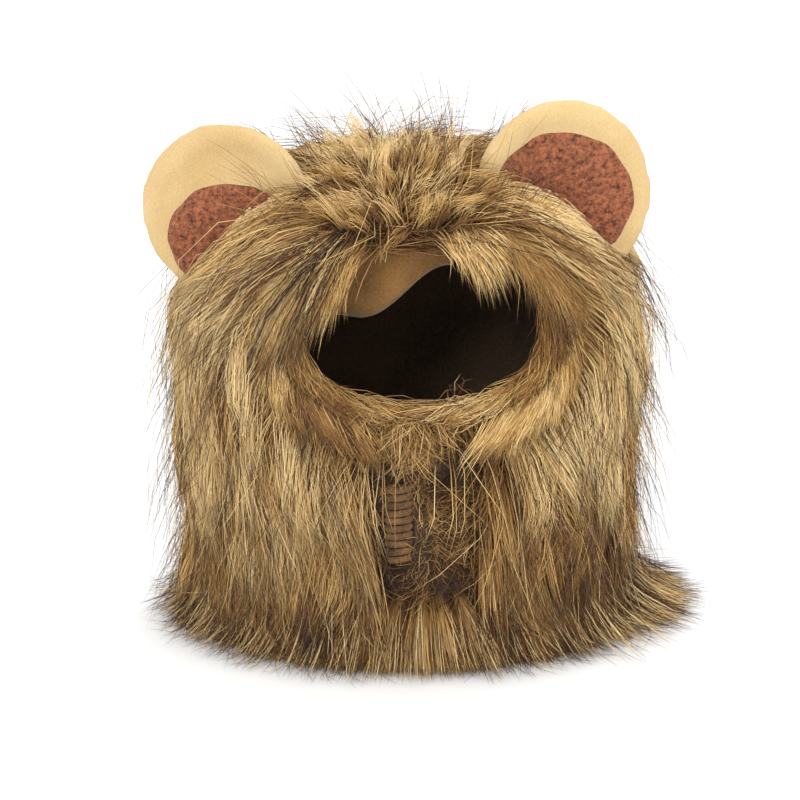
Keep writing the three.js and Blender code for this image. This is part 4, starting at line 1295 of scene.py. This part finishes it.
add_hair("face_edge_pile", rim(), "roll", "face_roll")
add_hair("face_edge_drape", drape(), "roll", "face_roll")
add_hair("brow_pile", brow_mat(), "roll", "face_roll")

# %% [markdown]
# ### The fringe
# A few light locks fall over the opening's top, right of the middle. The mane leaves out strands that hang
# there, so a table gives these their roots and tips.

# %% The fringe
FRINGE_COUNT = int(420 * max(QUICK_SHARE, 0.6))
FRINGE_LOCKS = [{"root": 15, "tip": 22, "drop": 16}, {"root": 18, "tip": 28, "drop": 24},
                {"root": 21, "tip": 34, "drop": 26}, {"root": 25, "tip": 39, "drop": 20}]


def fringe():
    """The locks of the table: root and tip are x from the hood's axis, drop how far the tip hangs, in mm."""
    dice = np.random.default_rng(41)
    lock = dice.integers(0, len(FRINGE_LOCKS), FRINGE_COUNT)
    from_x, to_x, drop = (np.array([row[key] for row in FRINGE_LOCKS])[lock]
                          for key in ("root", "tip", "drop"))
    spread = dice.normal(0, 3.2, FRINGE_COUNT)
    root_z = FACE_Z + FACE_HALF_HEIGHT + dice.uniform(-1, 5, FRINGE_COUNT) * MM
    root = offset_point(*front_place((from_x + spread) * MM, root_z), CLOTH_WALL + 5 * MM)
    tip = np.stack([AXIS_X + (to_x + 0.5 * spread + dice.normal(0, 2.2, FRINGE_COUNT)) * MM,
                    root[:, 1] - dice.uniform(3, 8, FRINGE_COUNT) * MM,
                    root[:, 2] - drop * dice.uniform(0.5, 1.1, FRINGE_COUNT) * MM], -1)
    points = root[:, None] + (tip - root)[:, None] * ALONG
    points += np.array([0.8, -5.0, 2.5]) * MM * np.sin(ALONG * np.pi)
    return {"points": points, "tone": np.clip(0.56 + dice.normal(0, 0.08, FRINGE_COUNT), 0.2, 0.86),
            "thick": dice.uniform(0.28, 0.42, FRINGE_COUNT) * MM, "start": 0.1,
            "end": dice.uniform(0.6, 0.95, FRINGE_COUNT)}


add_hair("fringe", fringe(), "pile")

# %% [markdown]
# ## The closure
# Down the chest the two edges meet on hook-and-loop tape. Its short pile has matted into dark curls, and
# the end of the fastening tab shows as a ribbed, overcast strap. Under it a golden tuft fans out to the
# floor. The tape is a sheet that follows the hood's formula, as the lining is. The tab is stiff and close
# to a box, so it is modelled from one, with rings for its thread.

# %% The strip
strip_low, strip_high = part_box("closure_strip")
STRIP_WALL = 2.2 * MM
STRIP_COLUMNS = 26
STRIP_ROWS = 46


def closure_strip():
    """A lumpy strip of tape that follows the hood."""
    x, z = grid_of(np.linspace(strip_low.x, strip_high.x, STRIP_COLUMNS) - AXIS_X,
                   np.linspace(strip_low.z, strip_high.z, STRIP_ROWS))
    bumps = 0.5 * MM * np.sin(x / MM / 2.1 + z / MM / 3.7) * np.cos(z / MM / 2.9)
    points = offset_point(*front_place(x, z), STRIP_WALL + 0.35 * MM + bumps)
    piece = mesh_object("matted_strip", points, grid_faces(STRIP_ROWS, STRIP_COLUMNS, False))
    finish_with(piece, "SOLIDIFY", thickness=STRIP_WALL * 0.8, offset=-1.0)
    return piece


strip = closure_strip()
dress(strip, "strip", "tape", "closure_strip")

# %% The tab
tab_low, tab_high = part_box("closure_tab")
TAB_RIBS = 10


def closure_tab():
    """A flat strap, overcast with thick thread: a squashed ring for each wrap, each with its own lean."""
    width, height = tab_high.x - tab_low.x, tab_high.z - tab_low.z
    depth = tab_high.y - tab_low.y
    centre = (tab_low + tab_high) / 2
    bpy.ops.object.select_all(action="DESELECT")
    bpy.ops.mesh.primitive_cube_add(size=1, location=centre)
    strap = bpy.context.object
    strap.name = "tab"
    bpy.ops.object.mode_set(mode="EDIT")
    bpy.ops.transform.resize(value=(width * 0.82, depth * 0.5, height))
    bpy.ops.mesh.bevel(offset=0.9 * MM, segments=2, affect="EDGES")
    bpy.ops.mesh.subdivide(number_cuts=2)
    bpy.ops.object.mode_set(mode="OBJECT")
    wraps = []
    for rib in range(TAB_RIBS):
        z = tab_low.z + height * (rib + 0.5) / TAB_RIBS
        lean = 0.12 + 0.05 * math.sin(2.3 * rib)
        bpy.ops.object.select_all(action="DESELECT")
        bpy.ops.mesh.primitive_torus_add(major_segments=28, minor_segments=8, minor_radius=1.4 * MM,
                                         major_radius=width / 2 - 1.3 * MM, location=(centre.x, centre.y, z))
        wrap = bpy.context.object
        bpy.ops.object.mode_set(mode="EDIT")
        bpy.ops.transform.resize(value=(1 + 0.03 * math.sin(3.1 * rib), 0.6, 1))
        bpy.ops.transform.rotate(value=lean, orient_axis="Y", center_override=(centre.x, centre.y, z))
        bpy.ops.object.mode_set(mode="OBJECT")
        wraps.append(wrap)
    bpy.ops.object.select_all(action="DESELECT")
    for part in [*wraps, strap]:
        part.select_set(True)
    bpy.context.view_layer.objects.active = strap
    bpy.ops.object.join()
    bpy.ops.object.transform_apply(location=True, rotation=True, scale=True)
    return strap


tab = closure_tab()
dress(tab, "tab", "tab", "closure_tab")

# %% [markdown]
# ### The matted pile
# The tape's hooks have pulled the pile into curls. They turn round four knots, two strong ones near the top
# and two weaker ones at the foot, lie every way between them, and leave the tab nearly bare. The knots give
# each root a flow to follow, and each strand bends to one side on its way. Near the knots the tone is
# darkened as painted
# shade: below the roll at the top, and in the gap above the tuft at the foot.

# %% The matted pile
MATTED_COUNT = int(2700 * QUICK_SHARE)
# Each knot has its x from the axis and its z in millimetres, and the sense and strength of its swirl. Round
# each knot the strands' tone carries painted shade.
KNOTS_WITH_PAINTED_SHADE = [(-13.0, 86.0, 1.0), (16.0, 83.0, -1.0), (-9.0, 36.0, 0.6), (19.0, 34.0, -0.6)]


def matted():
    """Short curled strands over the tape that flow round the knots, with painted shade near them."""
    dice = np.random.default_rng(51)
    x = dice.uniform(STRIP_LEFT - 5 * MM, STRIP_RIGHT + 4 * MM, MATTED_COUNT)
    z = dice.uniform(26 * MM, STRIP_TOP + 14 * MM, MATTED_COUNT)
    tab_x = (tab_low.x + tab_high.x) / 2 - AXIS_X
    over_tab = (np.abs(x - tab_x) < 7 * MM) & (np.abs(z - (tab_low.z + tab_high.z) / 2) < 18 * MM)
    keep = ~over_tab | (dice.uniform(0, 1, MATTED_COUNT) < 0.08)
    x, z = x[keep], z[keep]
    count = len(x)
    root = offset_point(*front_place(x, z), STRIP_WALL + 0.3 * MM)
    flow = np.stack([0.7 * np.sin(x / MM / 5 + z / MM / 9), -0.8 + 0.6 * np.cos(x / MM / 6 - z / MM / 7)], -1)
    # dark gathers the painted shade round the knots.
    dark = np.zeros(count)
    for knot_x, knot_z, sense in KNOTS_WITH_PAINTED_SHADE:
        dx, dz = x / MM - knot_x, z / MM - knot_z
        near = np.exp(-(dx**2 + dz**2) / 90)
        flow += 2.5 * sense * near[:, None] * np.stack([-dz, dx], -1) / np.hypot(dx, dz)[:, None].clip(1)
        dark += near
    flow += dice.normal(0, 0.55, (count, 2))
    heading = unit(np.stack([flow[:, 0], -0.15 - 0.5 * dice.uniform(0, 1, count), flow[:, 1]], -1))
    length = dice.uniform(6, 15, count) * MM
    curl = unit(np.cross(heading, dice.normal(0, 1, (count, 3))))[:, None] * (length[:, None, None] * 0.3)
    points = root[:, None] + heading[:, None] * length[:, None, None] * ALONG + curl * np.sin(ALONG * 3.0)
    points[..., 1] = np.clip(points[..., 1], root[:, None, 1] - 8 * MM, root[:, None, 1] - 0.4 * MM)
    # Painted shade: the tone darkens near the knots, below the roll and above the tuft.
    tone = 0.42 - 0.42 * dark + 0.1 * np.sin(x / MM / 3) + dice.normal(0, 0.1, count)
    return {"points": points, "tone": np.clip(tone, 0.01, 0.9),
            "thick": dice.uniform(0.2, 0.36, count) * MM,
            "start": 0.04, "end": dice.uniform(0.4, 0.8, count)}


# %% The tangle under the chin
CHIN_COUNT = int(520 * QUICK_SHARE)


def chin_tangle():
    """Brown strands that fall in a tangle from the middle of the lower rim over the closure's top."""
    dice = np.random.default_rng(53)
    across = dice.normal(0, 0.5, CHIN_COUNT).clip(-1.2, 1.2)
    x = FACE_X - AXIS_X + (-2 + 12 * across) * MM
    z = FACE_Z - FACE_HALF_HEIGHT - dice.uniform(3, 12, CHIN_COUNT) * MM
    root = offset_point(*front_place(x, z), CLOTH_WALL + 5 * MM)
    heading = unit(np.stack([-0.5 * across + dice.normal(0, 0.8, CHIN_COUNT),
                             -0.2 + dice.normal(0, 0.15, CHIN_COUNT),
                             -0.75 + dice.normal(0, 0.2, CHIN_COUNT)], -1))
    length = dice.uniform(8, 24, CHIN_COUNT) * (1 - 0.4 * np.abs(across)) * MM
    points = straight_strands(root, heading, length, dice.uniform(0, 0.3, CHIN_COUNT))
    curl = unit(np.cross(heading, dice.normal(0, 1, (CHIN_COUNT, 3))))
    points += curl[:, None] * (0.3 * length[:, None, None]) * np.sin(3.6 * ALONG)
    points[..., 2] = np.minimum(points[..., 2], root[:, None, 2] + 1 * MM)
    # The hollows' painted shade darkens these strands too.
    tone = 0.5 - painted_shade_depth(points[:, 2]) + dice.normal(0, 0.12, CHIN_COUNT)
    return {"points": points, "tone": np.clip(tone, 0.05, 0.92),
            "thick": dice.uniform(0.24, 0.38, CHIN_COUNT) * MM,
            "start": 0.08, "end": dice.uniform(0.5, 0.9, CHIN_COUNT)}


add_hair("matted_pile", matted(), "tape")
add_hair("chin_tangle", chin_tangle(), "tape")

# %% [markdown]
# ### The chest tuft
# Under the closure a golden tuft fans out and ends on the floor. Its strands leave their roots along
# headings that turn further outwards towards both sides. Where one would sink into the floor, it bends
# forwards and lies on it.

# %% The chest tuft
TUFT_COUNT = int(1900 * QUICK_SHARE)


def tuft():
    """Strands that fan out from the closure's foot and end on the floor, pale in the middle."""
    dice = np.random.default_rng(61)
    across = dice.uniform(-1, 1, TUFT_COUNT)
    x = (STRIP_LEFT + STRIP_RIGHT) / 2 + (across * 15 - 1) * MM
    z = dice.uniform(12, 31, TUFT_COUNT) * MM
    root = offset_point(*front_place(x, z), CLOTH_WALL - 1.0 * MM)
    lock = np.sin(x / MM * 0.9 + 1.5 * np.sin(z / MM / 6))
    length = z * 1.02 + dice.uniform(0, 7, TUFT_COUNT) * MM
    heading = np.stack([0.62 * across + 0.12 * lock, -0.3 - 0.2 * dice.uniform(0, 1, TUFT_COUNT),
                        -0.9 * np.ones(TUFT_COUNT)], -1)
    heading = unit(heading + dice.normal(0, 0.1, (TUFT_COUNT, 3)))
    points = straight_strands(root, heading, length, np.full(TUFT_COUNT, 0.2))
    under = np.minimum(points[..., 2] - 0.8 * MM - 1.5 * MM * dice.uniform(0, 1, (TUFT_COUNT, 1)), 0)
    points[..., 2] -= under
    points[..., 1] += 0.35 * under
    pale = np.exp(-((across - 0.05) / 0.16) ** 2)
    tone = 0.45 + 0.17 * lock + 0.14 * pale + dice.normal(0, 0.05, TUFT_COUNT)
    return {"points": points, "tone": np.clip(tone, 0.2, 0.97),
            "thick": dice.uniform(0.28, 0.42, TUFT_COUNT) * MM,
            "start": 0.05, "end": dice.uniform(0.6, 0.97, TUFT_COUNT)}


add_hair("tuft_pile", tuft(), "crest", "chest_tuft")

# %% [markdown]
# ## The ears
# Each ear is two discs of velour sewn together and stuffed. The CAD ear has the place, the dish and the
# seat in the fur. A copy of it is remeshed into even faces, and cloth under pressure from inside then gives
# the stuffed swell.


# %% Stuffing
EAR_SIDES = 20
EAR_PRESSURE = 4.0
CLOTH_FRAMES = 16
EAR_VOXEL = 2.5 * MM
SWELL_CAP = 1.3 * MM


def copy_of(node, name):
    """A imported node's mesh as a new object, with its doubles merged."""
    piece = bpy.data.objects.new(name, nodes[node].data.copy())
    bpy.context.scene.collection.objects.link(piece)
    tidy_mesh(piece)
    return piece


def points_of(piece):
    """A piece's points as rows of x, y and z."""
    values = np.empty(len(piece.data.vertices) * 3, np.float32)
    piece.data.vertices.foreach_get("co", values)
    return values.reshape(-1, 3)


def inflate(piece):
    """Blows the piece up as cloth, with no point moving further than the cap."""
    before = points_of(piece)
    pick(piece)
    cloth = piece.modifiers.new("stuffing", "CLOTH")
    cloth.settings.use_pressure = True
    cloth.settings.uniform_pressure_force = EAR_PRESSURE
    cloth.settings.effector_weights.gravity = 0
    cloth.settings.tension_stiffness = 20
    cloth.settings.bending_stiffness = 2
    for step in range(1, CLOTH_FRAMES + 1):
        bpy.context.scene.frame_set(step)
    bpy.ops.object.modifier_apply(modifier=cloth.name)
    bpy.context.scene.frame_set(1)
    moved = points_of(piece) - before
    size = np.linalg.norm(moved, axis=1, keepdims=True)
    after = before + moved * np.minimum(1, SWELL_CAP / np.maximum(size, 1e-9))
    piece.data.vertices.foreach_set("co", after.astype(np.float32).ravel())
    piece.data.update()
    print(f"{piece.name}: swelled by up to {min(size.max(), SWELL_CAP) / MM:.1f} mm")


def round_off(piece, ear):
    """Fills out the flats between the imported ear's corners, so that its outline is a smooth oval."""
    corner = 2 * math.pi / EAR_SIDES
    centre, axes = ear_axes(ear)
    local = (points_of(piece) - centre) @ axes.T
    across, up = local[:, 0] / ear["widen"], local[:, 2]
    turn = np.arctan2(up, across) - math.radians(ear["roll"])
    grow = np.cos(turn % corner - corner / 2) / math.cos(corner / 2)
    local[:, 0] *= grow
    local[:, 2] *= grow
    piece.data.vertices.foreach_set("co", (local @ axes + centre).astype(np.float32).ravel())


# %% [markdown]
# ### The terry patches
# A patch is sewn flat onto the ear, so it has to follow the ear's swell everywhere. A round grid of points
# is held in front of the ear and dropped onto it along the ear's axis. A ray cast works that out for each.

# %% A terry patch
PATCH_RINGS = 18
PATCH_SPOKES = 60
DROP_HEIGHT = 40.0


def terry_patch(ear, stuffed):
    """An oval of terry on the stuffed ear's front: each point is dropped onto it along the ear's axis."""
    centre, axes = ear_axes(ear)
    roll = math.radians(ear["roll"])
    mesh = stuffed.data
    velour = BVHTree.FromPolygons([v.co for v in mesh.vertices], [tuple(p.vertices) for p in mesh.polygons])
    share, turn = grid_of(np.linspace(0.02, 1, PATCH_RINGS),
                          np.linspace(0, 2 * np.pi, PATCH_SPOKES, endpoint=False), indexing="ij")
    edge = 1 + 0.012 * np.sin(7 * turn) + 0.008 * np.sin(12 * turn + 1)
    across = ear["across"] + ear["patch"] * ear["patch_widen"] * share * edge * np.cos(turn)
    up = ear["up"] + ear["patch"] * share * edge * np.sin(turn)
    turned = np.stack([across * math.cos(roll) - up * math.sin(roll), np.full(len(share), -DROP_HEIGHT),
                       across * math.sin(roll) + up * math.cos(roll)], -1) * MM
    starts = turned @ axes + centre
    pile = 1.3 * MM * (1 - 1.1 * fade(share, 0.88, 1.0))
    points = []
    for start, height in zip(starts, pile):
        hit, _, _, _ = velour.ray_cast(Vector(start), Vector(axes[1]))
        points.append((np.array(hit) if hit else start + axes[1] * DROP_HEIGHT * MM) - axes[1] * height)
    faces = grid_faces(PATCH_RINGS, PATCH_SPOKES, True) + [tuple(range(PATCH_SPOKES))]
    piece = mesh_object(f"terry_patch_{ear['side']}", points, faces)
    tidy_mesh(piece)
    finish_with(piece, "SOLIDIFY", thickness=1.0 * MM, offset=-1.0)
    return piece


# %% Both ears
for ear in EARS:
    side = ear["side"]
    stuffed = copy_of(f"ear_{side}", f"stuffed_ear_{side}")
    finish_with(stuffed, "REMESH", mode="VOXEL", voxel_size=EAR_VOXEL)
    round_off(stuffed, ear)
    finish_with(stuffed, "SMOOTH", factor=0.5, iterations=26)
    inflate(stuffed)
    finish_with(stuffed, "SUBSURF", levels=1, render_levels=1)
    dress(stuffed, "ear", "velour", f"ear_{side}")
    patch = terry_patch(ear, stuffed)
    dress(patch, "patch", "patch", f"ear_{side}_patch")

# %% [markdown]
# ## Floor, light and camera
# A wide pale floor, a white surround and large soft lamps give the even, nearly shadowless light of a
# product photograph. The camera stands before the hood and a little above it, far enough away for a flat
# perspective.

# %% Floor and light
bpy.ops.object.select_all(action="DESELECT")
bpy.ops.mesh.primitive_plane_add(size=12, location=(0, 0, -0.3 * MM))
floor = bpy.context.object
floor.name = "floor"
floor_material, _, floor_shader = new_finish("pale_floor", 0.9)
floor_shader.inputs["Base Color"].default_value = (0.93, 0.93, 0.93, 1)
floor.data.materials.append(floor_material)

world = bpy.data.worlds.new("surround")
bpy.context.scene.world = world
world.use_nodes = True
world.node_tree.nodes["Background"].inputs["Color"].default_value = (1, 1, 1, 1)
world.node_tree.nodes["Background"].inputs["Strength"].default_value = 0.85
bpy.context.scene.view_settings.view_transform = "Standard"
AIM = (0, 0, 0.1)


def soft_lamp(name, place, size, power):
    """A round area lamp that points at the hood's middle."""
    data = bpy.data.lights.new(name, "AREA")
    data.shape = "DISK"
    data.size = size
    data.energy = power
    lamp = bpy.data.objects.new(name, data)
    bpy.context.scene.collection.objects.link(lamp)
    lamp.location = place
    lamp.rotation_euler = (Vector(AIM) - Vector(place)).to_track_quat("-Z", "Y").to_euler()


soft_lamp("front_lamp", (-0.5, -1.1, 1.1), 0.7, 12)
soft_lamp("right_lamp", (1.0, -0.5, 0.8), 0.7, 5)
soft_lamp("top_lamp", (0.1, 0.5, 1.4), 0.8, 7)

# %% Camera
SENSOR_WIDTH = 36
IMAGE_WIDTH = 0.32
CAMERA_DISTANCE = 1.25
CAMERA_RISE = math.radians(20)
LOOK_AT = Vector((AXIS_X - 4 * MM, AXIS_Y, 89 * MM))
camera_data = bpy.data.cameras.new("camera")
camera_data.sensor_width = SENSOR_WIDTH
camera_data.lens = SENSOR_WIDTH * CAMERA_DISTANCE / IMAGE_WIDTH
camera = bpy.data.objects.new("camera", camera_data)
bpy.context.scene.collection.objects.link(camera)
back = Vector((0, -math.cos(CAMERA_RISE), math.sin(CAMERA_RISE)))
camera.location = LOOK_AT + back * CAMERA_DISTANCE
camera.rotation_euler = (-back).to_track_quat("-Z", "Y").to_euler()
camera_data.clip_end = 50
bpy.context.scene.camera = camera
print("camera at", [round(v, 3) for v in camera.location])
